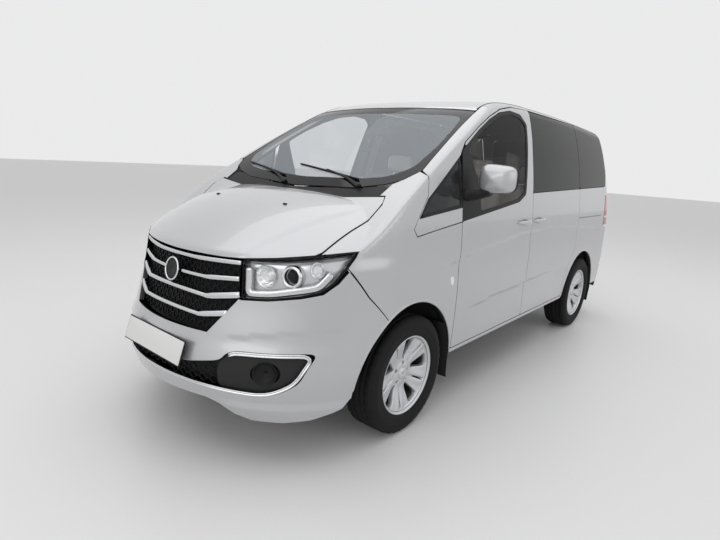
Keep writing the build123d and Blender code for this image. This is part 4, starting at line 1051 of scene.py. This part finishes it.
both_hands("headlamp_seal", "body", panel, chart=AROUND_NOSE, material=BLACK_PLASTIC,
    loops=[lamp_loop_inset(0.5), lamp_loop_inset(4.0)], depth=1.2, edge=5.0, hem=1.0)
both_hands("headlamp_bowl", "body", panel, chart=AROUND_NOSE, material=LAMP, loops=[lamp_loop_inset(4.5)], depth=58.0,
    edge=-56.0)
both_hands("headlamp_cover", "body", panel, chart=AROUND_NOSE, material=LENS, replaces=["headlamps"],
    loops=[lamp_loop_inset(4.0)], depth=0.6, edge=3.0, hem=0.8)
lamp_guide = rounded(((452, 958), (466, 842), (560, 848), (726, 886), (760, 952)), 24.0, closed=False)
both_hands("headlamp_guide", "body", strip, path=front_run(lamp_guide, 10.0), section=bar_section(34.0, 7.0, 20.0),
    depth=18.0, material=SATIN_CHROME, slot="lamp_lens")


def lamp_insides(name, flip):
    """The inner reflector, the projector in its bezel and the outer reflector."""
    for label, x, z, radius, sunk in (("inner_reflector", 522, 925, 50, 26), ("outer_reflector", 706, 968, 34, 34)):
        place = front_loop(((x, z),))
        normal = skin_normals(place)[0] + (0.0, -1.2, 0.0)
        normal /= np.linalg.norm(normal)
        solid(f"headlamp_{label}_{name}", aimed(bowl(radius, 34.0), place[0] - normal * sunk, normal), CHROME,
            flip=flip)
        lens = turned_shape(((8, 0.5), (6, radius * 0.3), (-4, radius * 0.42), (-30, radius * 0.42), (-30, 0.5)), 32)
        solid(f"headlamp_{label}_bulb_{name}", aimed(lens, place[0] - normal * (sunk + 22), normal), LAMP, flip=flip)
    place = front_loop(((624, 932),))
    ahead = skin_normals(place)[0] + (0.0, -1.2, 0.0)
    ahead /= np.linalg.norm(ahead)
    bezel = turned_shape(((4, 46), (0, 37), (-18, 35), (-46, 40), (-46, 49), (-8, 52)), 48)
    solid(f"headlamp_bezel_{name}", aimed(bezel, place[0] - ahead * 20, ahead), CHROME, flip=flip)
    dome = [(34 * cos(a) - 16, max(34 * sin(a), 0.5)) for a in np.linspace(0, pi / 2, 10)]
    ball = turned_shape(dome + [(-30, 34), (-30, 0.5)], 48)
    solid(f"headlamp_projector_{name}", aimed(ball, place[0] - ahead * 38, ahead), DARK_GLASS, slot="lamp_lens",
        flip=flip)


lamp_insides("left", False)
lamp_insides("right", True)

# ---------------------------------------------------------------- front plate
PLATE_TOP = (-988.0, 600.0)
PLATE_BOTTOM = (-1024.0, 490.0)


def leaning_slab(half_width, behind, thickness, grow):
    """A slab parallel to the front plate."""
    top, bottom = np.array(PLATE_TOP), np.array(PLATE_BOTTOM)
    up = (top - bottom) / np.linalg.norm(top - bottom)
    out = np.array((-up[1], up[0]))
    corners = [(bottom - up * grow - out * behind), (top + up * grow - out * behind)]
    corners += [corner - out * thickness for corner in corners[::-1]]
    points = [(x, y, z) for x in (-half_width, half_width) for y, z in corners]
    return points, [(0, 1, 2, 3), (7, 6, 5, 4), (0, 4, 5, 1), (1, 5, 6, 2), (2, 6, 7, 3), (3, 7, 4, 0)]


solid("front_plate_holder", leaning_slab(264.0, 3.0, 7.0, 4.0), BLACK_PLASTIC, slot=None, bevel=2.5)
solid("front_plate", leaning_slab(258.0, 1.0, 3.0, -2.0), PLATE, bevel=1.0)
solid("front_plate_bracket", block((-200.0, 200.0), (-1000.0, -930.0), (506.0, 560.0)), BLACK_PLASTIC, slot=None,
    bevel=4.0)

# ---------------------------------------------------------------- wipers
def wiper(name, pivot, elbow, blade_start, blade_end, replaces):
    """An arm from its pivot to the middle of a blade that lies on the glass."""
    arm_path = top_run(rounded((pivot, (pivot[0] * 0.6 + elbow[0] * 0.4, pivot[1] * 0.45 + elbow[1] * 0.55), elbow),
        60.0, closed=False), 15.0)
    share = np.linspace(0, 1, len(arm_path))
    half = np.interp(share, (0, 0.12, 0.5, 1), (13, 11, 6, 4.5))
    lift = np.interp(share, (0, 0.15, 0.6, 1), (3, 6, 8, 9))
    edge = ((-1, -3), (-1, 1), (-0.6, 5), (0.6, 5), (1, 1), (1, -3))
    section = np.stack([np.stack([s * half, lift + out], 1) for s, out in edge], 1)
    strip(f"{name}_arm", arm_path, section, material=BLACK_PLASTIC, replaces=replaces)
    blade = ((-3.5, -3.0), (-6.0, 5.0), (-5.0, 8.5), (0.0, 10.0), (4.0, 8.0), (4.5, 4.0), (2.0, -3.0))
    strip(f"{name}_blade", top_run((blade_start, blade_end), 20.0), blade, material=BLACK_PLASTIC)
    place = on_skin(UPRIGHT, [pivot])
    cap = turned_shape(((10, 0.5), (9, 9), (5, 14), (-8, 15), (-8, 0.5)), 24)
    solid(f"{name}_pivot", aimed(cap, place[0] + (0, 0, 6), skin_normals(place)[0] + (0.001, 0, 0)), BLACK_PLASTIC)


wiper("wiper_left", (470.0, -76.0), (150.0, 14.0), (430.0, -30.0), (-110.0, 45.0), ["wipers"])
wiper("wiper_right", (-100.0, -98.0), (-420.0, 2.0), (-150.0, -50.0), (-600.0, 40.0), ["wipers"])

# ---------------------------------------------------------------- wheels
SPOKES = 5
WINDOW_START = radians(83.0)
FACE_RADIUS = 211.0
BOLT_RING = 57.0


def around_wheel(radius, angle):
    return (radius * cos(angle), radius * sin(angle))


def face_height(flat):
    """How far the wheel's face stands out of its middle plane: dished, with a groove down each double spoke."""
    radius = np.hypot(flat[:, 0], flat[:, 1])
    height = 46.0 + 6.0 * smooth_step(70.0 - radius, 0.0, 16.0) + 30.0 * smooth_step(radius, 60.0, 210.0)
    sector = 2 * pi / SPOKES
    angle = np.arctan2(flat[:, 1], flat[:, 0]) - WINDOW_START
    off_spoke = np.abs((angle + 2 * pi) % sector - sector / 2) * radius
    fade = smooth_step(radius, 72.0, 105.0) * (1 - smooth_step(radius, 196.0, 209.0))
    crown = -6.0 * np.clip((off_spoke - 13.0) / 30.0, 0, 1) ** 2
    return height + fade * (crown - 14.0 * np.exp(-(off_spoke / 5.0) ** 2))


def wheel_face(name, body, flip, replaces, back):
    """The cast face, cut through by its windows and bolt recesses, with walls behind every edge."""
    loops = [dense(ellipse(90, FACE_RADIUS, FACE_RADIUS), 16.0)]
    for i in range(SPOKES):
        middle = WINDOW_START + i * 2 * pi / SPOKES
        for turn, half in ((0.0, ((82, 4.6), (110, 8.8), (150, 11.2), (186, 12.0), (200, 10.0), (202, 4.0))),
                           (pi / SPOKES, ((122, 0.9), (160, 1.4), (194, 2.2), (197, 1.4)))):
            window = [around_wheel(r, middle + turn + radians(a)) for r, a in half]
            window += [around_wheel(r, middle + turn - radians(a)) for r, a in reversed(half)]
            loops.append(dense(rounded(window, 9.0), 7.0))
        bolt = around_wheel(BOLT_RING, middle)
        loops.append(np.array(ellipse(16, 10.5, 10.5, bolt)))
    hem = 1.3
    flat, triangles, became = cut_sheet([inward(loop, hem if i == 0 else -hem) for i, loop in enumerate(loops)], 7.0)
    points = [np.concatenate([face_height(flat)[:, None], flat], 1)]
    faces = [tuple(face) for face in triangles.tolist()]
    start, total = 0, len(flat)
    for loop in loops:
        count = len(loop)
        for drop in (1.5, 30.0):
            points.append(np.concatenate([face_height(loop)[:, None] - drop, loop], 1))
        for j in range(count):
            k = (j + 1) % count
            faces.append((became[start + j], became[start + k], total + k, total + j))
            faces.append((total + j, total + k, total + count + k, total + count + j))
        start += count
        total += 2 * count
    points = np.concatenate(points) + (WHEEL_X, back, AXLE_HEIGHT)
    solid(name, (points, faces), ALLOY, body, replaces=replaces, flip=flip)


def turned_piece(name, body, flip, replaces, back, profile, material, slot, count=72):
    """A piece turned about a wheel's axle, from (distance out of the wheel's middle, radius) points."""
    points, faces = turned_shape(profile, count)
    solid(name, (points + (WHEEL_X, back, AXLE_HEIGHT), faces), material, body, slot=slot, replaces=replaces,
        flip=flip)


LIP = ((75.5, 203.5), (77.5, 206), (82, 210), (87, 214), (90, 218), (90, 222), (84, 222), (80, 218), (60, 213),
    (50, 208), (50, 204))
BARREL = ((50, 207), (40, 202), (-50, 201), (-78, 212), (-84, 222), (-90, 222), (-90, 216), (-80, 205), (-55, 194),
    (40, 194), (50, 203))
TREAD = ((-70, 331), (-54, 331), (-53, 323), (-46, 323), (-45, 331), (-25, 331), (-24, 323), (-17, 323), (-16, 331),
    (16, 331), (17, 323), (24, 323), (25, 331), (45, 331), (46, 323), (53, 323), (54, 331), (70, 331))
SIDEWALL = ((84, 327.5), (93, 318), (99, 305), (101.2, 296), (102.4, 294), (102.5, 272), (101.5, 270), (100.5, 250),
    (97, 238), (93, 229), (90.8, 224), (84, 221), (80, 207))


def tyre_rings(count=160):
    """The tyre's sections round the wheel: every fourth one is cut down at the shoulders."""
    plain = list(TREAD) + list(SIDEWALL) + [(62, 205), (70, 240), (66, 300), (-66, 300), (-70, 240), (-62, 205)]
    plain = np.array(plain + [(-x, r) for x, r in reversed(SIDEWALL)], float)
    cut = plain.copy()
    shoulder = (np.abs(cut[:, 0]) > 53.5) & (cut[:, 1] > 312)
    cut[shoulder, 1] -= 5.0
    return np.array([cut if i % 4 == 0 else plain for i in range(count)])


HUB = ((-40, 31), (-40, 66), (22, 62), (22, 31))
DISC = ((-40, 62), (-40, 146), (-31, 146), (-31, 120), (-29, 120), (-29, 146), (-20, 146), (-20, 62))
CAP = ((61, 0.5), (60, 20), (57, 31), (52, 34), (40, 34), (40, 0.5))
for place, back in (("front", 0.0), ("rear", WHEELBASE)):
    wheel_body = f"wheel_{place}_{{}}"
    both_hands(f"rim_face_{place}", wheel_body, wheel_face, back=back, replaces=[f"rim_{place}_{{}}"])
    # the rim barrel takes the near-black chassis finish as painted shade: the alloy behind the face's windows is drawn
    # dark
    for part, profile, material, slot, replaced in (
            ("rim_lip", LIP, ALLOY, "wheel_alloy", ()), ("rim_barrel", BARREL, CHASSIS, "wheel_alloy", ()),
            ("wheel_hub", HUB, CAST_METAL, "wheel_alloy", ()), ("brake_disc", DISC, CAST_METAL, "wheel_alloy", ()),
            ("wheel_cap", CAP, ALLOY, "wheel_alloy", ()),
            ("tyre_tread", tyre_rings(), RUBBER, "tyre", [f"tyre_{place}_{{}}"])):
        both_hands(f"{part}_{place}", wheel_body, turned_piece, back=back, profile=profile, material=material,
            slot=slot, replaces=replaced, count=160 if part == "tyre_tread" else 72)


def bolt_heads(name, body, flip, replaces, back):
    """Five bolt heads, sunk in the face's recesses."""
    heads = []
    for i in range(SPOKES):
        y, z = around_wheel(BOLT_RING, WINDOW_START + i * 2 * pi / SPOKES)
        points, faces = turned_shape(((40, 0.5), (40, 7.5), (38, 8.5), (20, 8.5), (20, 0.5)), 6)
        heads.append((points + (WHEEL_X, back + y, AXLE_HEIGHT + z), faces))
    solid(name, merged(*heads), CAST_METAL, body, replaces=replaces, flip=flip)


def caliper(name, body, flip, replaces, back):
    """The brake caliper over the back of the disc."""
    rings = []
    for angle in np.linspace(radians(-24), radians(24), 9):
        section = ((-52, 96), (-52, 152), (-46, 158), (-6, 158), (0, 152), (0, 100), (-14, 96), (-14, 150),
            (-44, 150), (-44, 96))
        rings.append([(WHEEL_X + x, back + r * cos(angle), AXLE_HEIGHT + r * sin(angle)) for x, r in section])
    solid(name, rounded_form(rings), CAST_METAL, body, slot="chassis_black", replaces=replaces, flip=flip)


both_hands("wheel_bolts_front", "wheel_front_{}", bolt_heads, back=0.0)
both_hands("wheel_bolts_rear", "wheel_rear_{}", bolt_heads, back=WHEELBASE)
both_hands("brake_caliper_front", "knuckle_{}", caliper, back=0.0)
both_hands("brake_caliper_rear", "body", caliper, back=WHEELBASE)

# ---------------------------------------------------------------- seats
PAD_VOXEL = 0.014
SWELL_FRAMES = 20
SHRINK = 9.0
CUSHION_DEPTH = 500.0


def padded_shape(points, faces, reach):
    """A pad's final points and faces: blown up a little as cloth, with no point moving further than its reach."""
    mesh = bpy.data.meshes.new("pad")
    mesh.from_pydata((np.asarray(points) * 0.001).tolist(), [], faces)
    pad = face_out(bpy.data.objects.new("pad", mesh))
    bpy.context.collection.objects.link(pad)
    even = pad.modifiers.new("even", "REMESH")
    even.mode = "VOXEL"
    even.voxel_size = PAD_VOXEL
    apply_modifiers(pad)
    rest = np.array([vertex.co for vertex in pad.data.vertices])
    cloth = pad.modifiers.new("swell", "CLOTH")
    cloth.settings.use_pressure = True
    cloth.settings.uniform_pressure_force = 4.0
    cloth.settings.effector_weights.gravity = 0.0
    cloth.point_cache.frame_start = 1
    cloth.point_cache.frame_end = SWELL_FRAMES
    for frame_number in range(1, SWELL_FRAMES + 1):
        bpy.context.scene.frame_set(frame_number)
    swollen = pad.evaluated_get(bpy.context.evaluated_depsgraph_get())
    moved = np.array([vertex.co for vertex in swollen.data.vertices]) - rest
    pad.modifiers.clear()
    far = np.linalg.norm(moved, axis=1)
    moved *= np.minimum(1.0, reach * 0.001 / np.maximum(far, 1e-9))[:, None]
    pad.data.vertices.foreach_set("co", (rest + moved).ravel())
    bpy.context.scene.frame_set(1)
    pad.modifiers.new("smooth", "SUBSURF").levels = 1
    apply_modifiers(pad)
    points = np.array([vertex.co for vertex in pad.data.vertices]) * 1000.0
    faces = [tuple(face.vertices) for face in pad.data.polygons]
    bpy.data.objects.remove(pad)
    return points, faces


def cushion_start(width):
    """A seat cushion with raised sides and a rounded front edge, from its back lower middle."""
    rings, half = [], width / 2 - SHRINK
    for s in np.linspace(0, 1, 15):
        oval = superoval(44, 5.0)
        x = half * oval[:, 0] * (1 - 0.06 * (2 * s - 1) ** 6)
        thick = 58.0 - 26.0 * (1 - s) ** 6
        dip = 17.0 * np.clip(1 - (x / (half * 0.62)) ** 4, 0, 1) * (oval[:, 1] > 0)
        z = 68.0 + thick * oval[:, 1] - dip - 8.0 * s
        rings.append(np.stack([x, np.full(44, SHRINK + s * (CUSHION_DEPTH - 2 * SHRINK)), z], 1))
    return rounded_form(rings)


def back_start(width, height):
    """A leaning seat back with raised sides, from its lower front middle."""
    rings, half = [], width / 2 - SHRINK
    for s in np.linspace(0, 1, 19):
        oval = superoval(44, 4.0)
        x = half * oval[:, 0] * (1 - 0.16 * s**3 - 0.05 * (1 - s) ** 4)
        dip = 20.0 * np.clip(1 - (x / (half * 0.62)) ** 4, 0, 1) * (oval[:, 1] < 0) * (1 - s**4)
        thick = 52.0 - 8.0 * s - 18.0 * abs(2 * s - 1) ** 10
        y = 60.0 + thick * oval[:, 1] + dip + 130.0 * s
        rings.append(np.stack([x, y, SHRINK + s * (height - 2 * SHRINK) - 8.0 * oval[:, 1]], 1))
    return rounded_form(rings)


def headrest_start():
    rings = []
    for s in np.linspace(0, 1, 11):
        oval = superoval(32, 3.4)
        fat = (1 - abs(2 * s - 1) ** 5) ** 0.4 if 0 < s < 1 else 0.3
        rings.append(np.stack([118.0 * oval[:, 0] * (0.82 + 0.18 * fat), 50.0 + 38.0 * oval[:, 1] * fat,
            52.0 + 130.0 * s + 0 * oval[:, 0]], 1))
    return rounded_form(rings)


HEADREST = padded_shape(*headrest_start(), 8.0)


def seats(node, middle, width, front, back_top):
    """A pair of seats: padded cushion, back and headrest on a plain base."""
    pads = (("cushion", padded_shape(*cushion_start(width), 12.0), (0.0, front, 600.0)),
            ("back", padded_shape(*back_start(width, back_top - 700.0), 12.0), (0.0, front + 415.0, 700.0)),
            ("headrest", HEADREST, (0.0, front + 550.0, back_top)))
    for hand, side in (("left", 1), ("right", -1)):
        for label, (points, faces), place in pads:
            shape = (points + place + (side * middle, 0, 0), faces)
            pad = make_piece(f"{node}_{label}_{hand}", shape, CLOTH, replaces=[node])
        inner, outer = side * middle - width / 2 + 62.0, side * middle + width / 2 - 62.0
        base = block((inner, outer), (front + 62.0, front + 458.0), (FLOOR_TOP + 1.0, 600.0))
        solid(f"{node}_base_{hand}", base, BLACK_TRIM, bevel=14.0)
        posts = []
        for x in (-55.0, 55.0):
            points, faces = turned_shape(((0, 6), (110, 6), (110, 0.5), (0, 0.5)), 16)
            posts.append((points[:, [1, 2, 0]] + (side * middle + x, front + 600.0, back_top - 40.0), faces))
        solid(f"{node}_posts_{hand}", merged(*posts), CHROME, slot=None)


FLOOR_TOP = 478.0
seats("front_seats", 375.0, 500.0, 850.0, 1330.0)
seats("second_row_seats", 400.0, 500.0, 1850.0, 1300.0)
seats("third_row_seats", 294.0, 570.0, 2620.0, 1290.0)

# ---------------------------------------------------------------- dashboard and steering wheel
DASH_PROFILE = np.array(((-30, 1172), (140, 1196), (330, 1206), (400, 1204), (520, 1172), (590, 1128), (604, 1080),
    (600, 1000), (566, 900), (530, 790), (505, 765), (455, 765), (450, 860), (440, 1000), (300, 1060), (60, 1110),
    (-30, 1130)), float)


def dash_rings():
    """The dashboard's outline at stations across the body, with the hood over the driver's dials."""
    rings = []
    for x in joined(np.linspace(-764, 150, 24), np.linspace(185, 555, 15), np.linspace(590, 764, 6)):
        outline = dense(rounded(DASH_PROFILE, 26.0), 26.0)
        hood = smooth_step(200.0 - abs(x - 370.0), 0.0, 60.0)
        over = smooth_step(outline[:, 0], 330.0, 470.0) * smooth_step(outline[:, 1], 1040.0, 1120.0)
        lift = 34.0 * hood * over
        outline = outline + np.stack([0.5 * lift, lift], 1)
        rings.append(np.stack([np.full(len(outline), x), outline[:, 0], outline[:, 1]], 1))
    return np.array(rings)


solid("dashboard_body", rounded_form(dash_rings()), DASH_TRIM, replaces=["dashboard"])


def pillow(middle, half_width, half_deep, half_high, count, sides, power, squeeze=0.0):
    """A form across the body with rounded sides, and with its ends squeezed."""
    rings = []
    for s in np.linspace(-1, 1, count):
        oval = superoval(sides, power) * (1 - squeeze * abs(s) ** 6)
        rings.append(np.column_stack([np.full(sides, middle[0] + half_width * s), middle[1] + half_deep * oval[:, 0],
                                      middle[2] + half_high * oval[:, 1]]))
    return rounded_form(rings)


console = pillow((0.0, 548.0, 850.0), 130.0, 74.0, 190.0, 9, 36, 6.0)
solid("centre_console", console, BLACK_TRIM, bevel=8.0)
solid("console_screen", block((-92.0, 92.0), (596.0, 626.0), (900.0, 1012.0)), DARK_GLASS, slot=None, bevel=4.0)
for label, x in (("left", 690.0), ("middle_left", 190.0), ("middle_right", -190.0), ("right", -690.0)):
    solid(f"air_vent_{label}", block((x - 52.0, x + 52.0), (570.0, 612.0), (1020.0, 1082.0)), BLACK_PLASTIC,
        slot="black_trim", bevel=9.0)
WHEEL_CENTRE = np.array((370.0, 735.0, 1085.0))
COLUMN = np.array((0.0, sin(radians(62.0)), cos(radians(62.0))))
shroud = turned_shape(((-36, 0.5), (-36, 40), (-60, 52), (-150, 58), (-262, 62), (-262, 0.5)), 36)
solid("column_shroud", aimed(shroud, WHEEL_CENTRE, COLUMN), BLACK_TRIM)
grip = turned_shape(ellipse(16, 15.0, 15.0, (0.0, 176.0)), 80)
solid("steering_rim", aimed(grip, WHEEL_CENTRE, COLUMN), BLACK_TRIM, "steering_wheel", replaces=["steering_wheel"])
hub_pad = turned_shape(((10, 0.5), (8, 42), (0, 62), (-16, 66), (-30, 50), (-30, 0.5)), 40)
arms = [aimed(hub_pad, (0.0, 0.0, 0.0), COLUMN)]
for turn in (0.0, pi, -pi / 2):
    reach = np.array((cos(turn), -sin(turn) * COLUMN[2], sin(turn) * COLUMN[1]))
    across = np.cross(COLUMN, reach)
    rings = []
    for s in np.linspace(0, 1, 7):
        oval = superoval(16, 2.6)
        middle = reach * (45 + 128 * s) - COLUMN * 10 * (1 - s)
        rings.append(middle + oval[:, :1] * across * (27 - 9 * s) + oval[:, 1:] * COLUMN * 8)
    arms.append(rounded_form(rings))
spokes, spoke_faces = merged(*arms)
solid("steering_hub_and_spokes", (spokes + WHEEL_CENTRE, spoke_faces), BLACK_TRIM, "steering_wheel")

# ---------------------------------------------------------------- linings
LINING = mirrored_loop(((0, 772), (560, 800), (604, 900), (604, 3330), (0, 3350)))
panel("headlining", chart=UPRIGHT, loops=[top_loop(rounded(LINING, 30.0))], depth=34.0, edge=-12.0,
    material=PALE_TRIM, spacing=40.0)
SIDE_LINING = ((1470, 800), (1470, 1290), (1482, 1600), (1560, 1846), (3370, 1806), (3346, 1500), (3280, 1335),
    (3290, 960), (2560, 830))
SIDE_LINING_WINDOWS = (((1560, 1340), (1590, 1600), (1640, 1800), (2470, 1800), (2470, 1360)),
                       ((2590, 1365), (2590, 1798), (3290, 1765), (3290, 1520), (3240, 1385)))
both_hands("side_lining", "body", panel, material=PALE_TRIM, spacing=34.0,
    loops=[eased_side(SIDE_LINING, 30.0)] + [eased_side(window, 40.0) for window in SIDE_LINING_WINDOWS], depth=46.0,
    edge=-12.0)
both_hands("pillar_lining", "body", strip, path=top_run(((716, 190), (700, 320), (676, 520), (650, 720)), 25.0),
    section=((-30, -6), (-24, 6), (24, 6), (30, -6)), depth=34.0, material=PALE_TRIM)
inner_mirror = pillow((0.0, 668.0, 1655.0), 112.0, 16.0, 31.0, 13, 28, 3.0, squeeze=0.25)
solid("inner_mirror", inner_mirror, BLACK_TRIM)
stalk = [[(-9, y - 8, z), (9, y - 8, z), (9, y + 8, z), (-9, y + 8, z)]
         for y, z in ((664, 1668), (652, 1720), (640, 1762))]
solid("inner_mirror_stalk", rounded_form(stalk), BLACK_TRIM, bevel=2.0)

# ---------------------------------------------------------------- floor, light and camera
bpy.ops.mesh.primitive_plane_add(size=80.0, location=(0.0, 0.0, 0.0))
floor_plane = bpy.context.object
floor_plane.name = "studio_floor"
floor_plane.data.materials.append(finish("floor_paint", None, (0.78, 0.78, 0.775), 60.0, 0.02, roughness=0.4))

# the backdrop is brighter where it is seen, mirrored or looked at through glass than where it only lights
world = bpy.data.worlds.new("studio")
world.use_nodes = True
backdrop = world.node_tree.nodes["Background"]
backdrop.inputs["Color"].default_value = (0.90, 0.90, 0.905, 1.0)
rays = add_node(world.node_tree, "LightPath").outputs
seen = add_node(world.node_tree, "Math", {0: rays["Is Camera Ray"], 1: rays["Is Glossy Ray"]}, "MAXIMUM").outputs[0]
seen = add_node(world.node_tree, "Math", {0: seen, 1: rays["Is Transmission Ray"]}, "MAXIMUM").outputs[0]
strength = add_node(world.node_tree, "MapRange", {"Value": seen, "To Min": 0.66, "To Max": 0.92})
world.node_tree.links.new(strength.outputs["Result"], backdrop.inputs["Strength"])
bpy.context.scene.world = world


def soft_light(name, place, target, size, power):
    """A wide soft lamp at a place, turned to a target."""
    lamp = bpy.data.lights.new(name, "AREA")
    lamp.shape = "RECTANGLE"
    lamp.size, lamp.size_y = size
    lamp.energy = power
    holder = bpy.data.objects.new(name, lamp)
    bpy.context.collection.objects.link(holder)
    holder.location = place
    holder.rotation_euler = (Vector(target) - Vector(place)).to_track_quat("-Z", "Y").to_euler()


soft_light("overhead_light", (0.0, -0.5, 6.5), (0.0, 0.0, 0.0), (9.0, 12.0), 250.0)
soft_light("front_light", (2.0, -8.0, 3.5), (0.0, -1.0, 0.8), (6.0, 3.0), 75.0)
soft_light("side_light", (7.5, 1.5, 3.0), (0.0, 0.5, 0.8), (7.0, 3.0), 40.0)

CAMERA_PLACE = (2.237430, -3.449814, 1.464312)
CAMERA_YAW, CAMERA_PITCH, CAMERA_ROLL = -0.6938303, 0.2181644, 0.0613448
ahead = Vector((sin(CAMERA_YAW) * cos(CAMERA_PITCH), cos(CAMERA_YAW) * cos(CAMERA_PITCH), -sin(CAMERA_PITCH)))
level = Vector((cos(CAMERA_YAW), -sin(CAMERA_YAW), 0.0))
above = level.cross(ahead)
right = cos(CAMERA_ROLL) * level + sin(CAMERA_ROLL) * above
up = -sin(CAMERA_ROLL) * level + cos(CAMERA_ROLL) * above
camera_data = bpy.data.cameras.new("camera")
camera_data.lens = 25.005
camera_data.sensor_width = 36.0
camera = bpy.data.objects.new("camera", camera_data)
bpy.context.collection.objects.link(camera)
camera.matrix_world = Matrix.Translation(CAMERA_PLACE) @ Matrix((right, up, -ahead)).transposed().to_4x4()
bpy.context.scene.camera = camera
bpy.context.scene.view_settings.view_transform = "Standard"
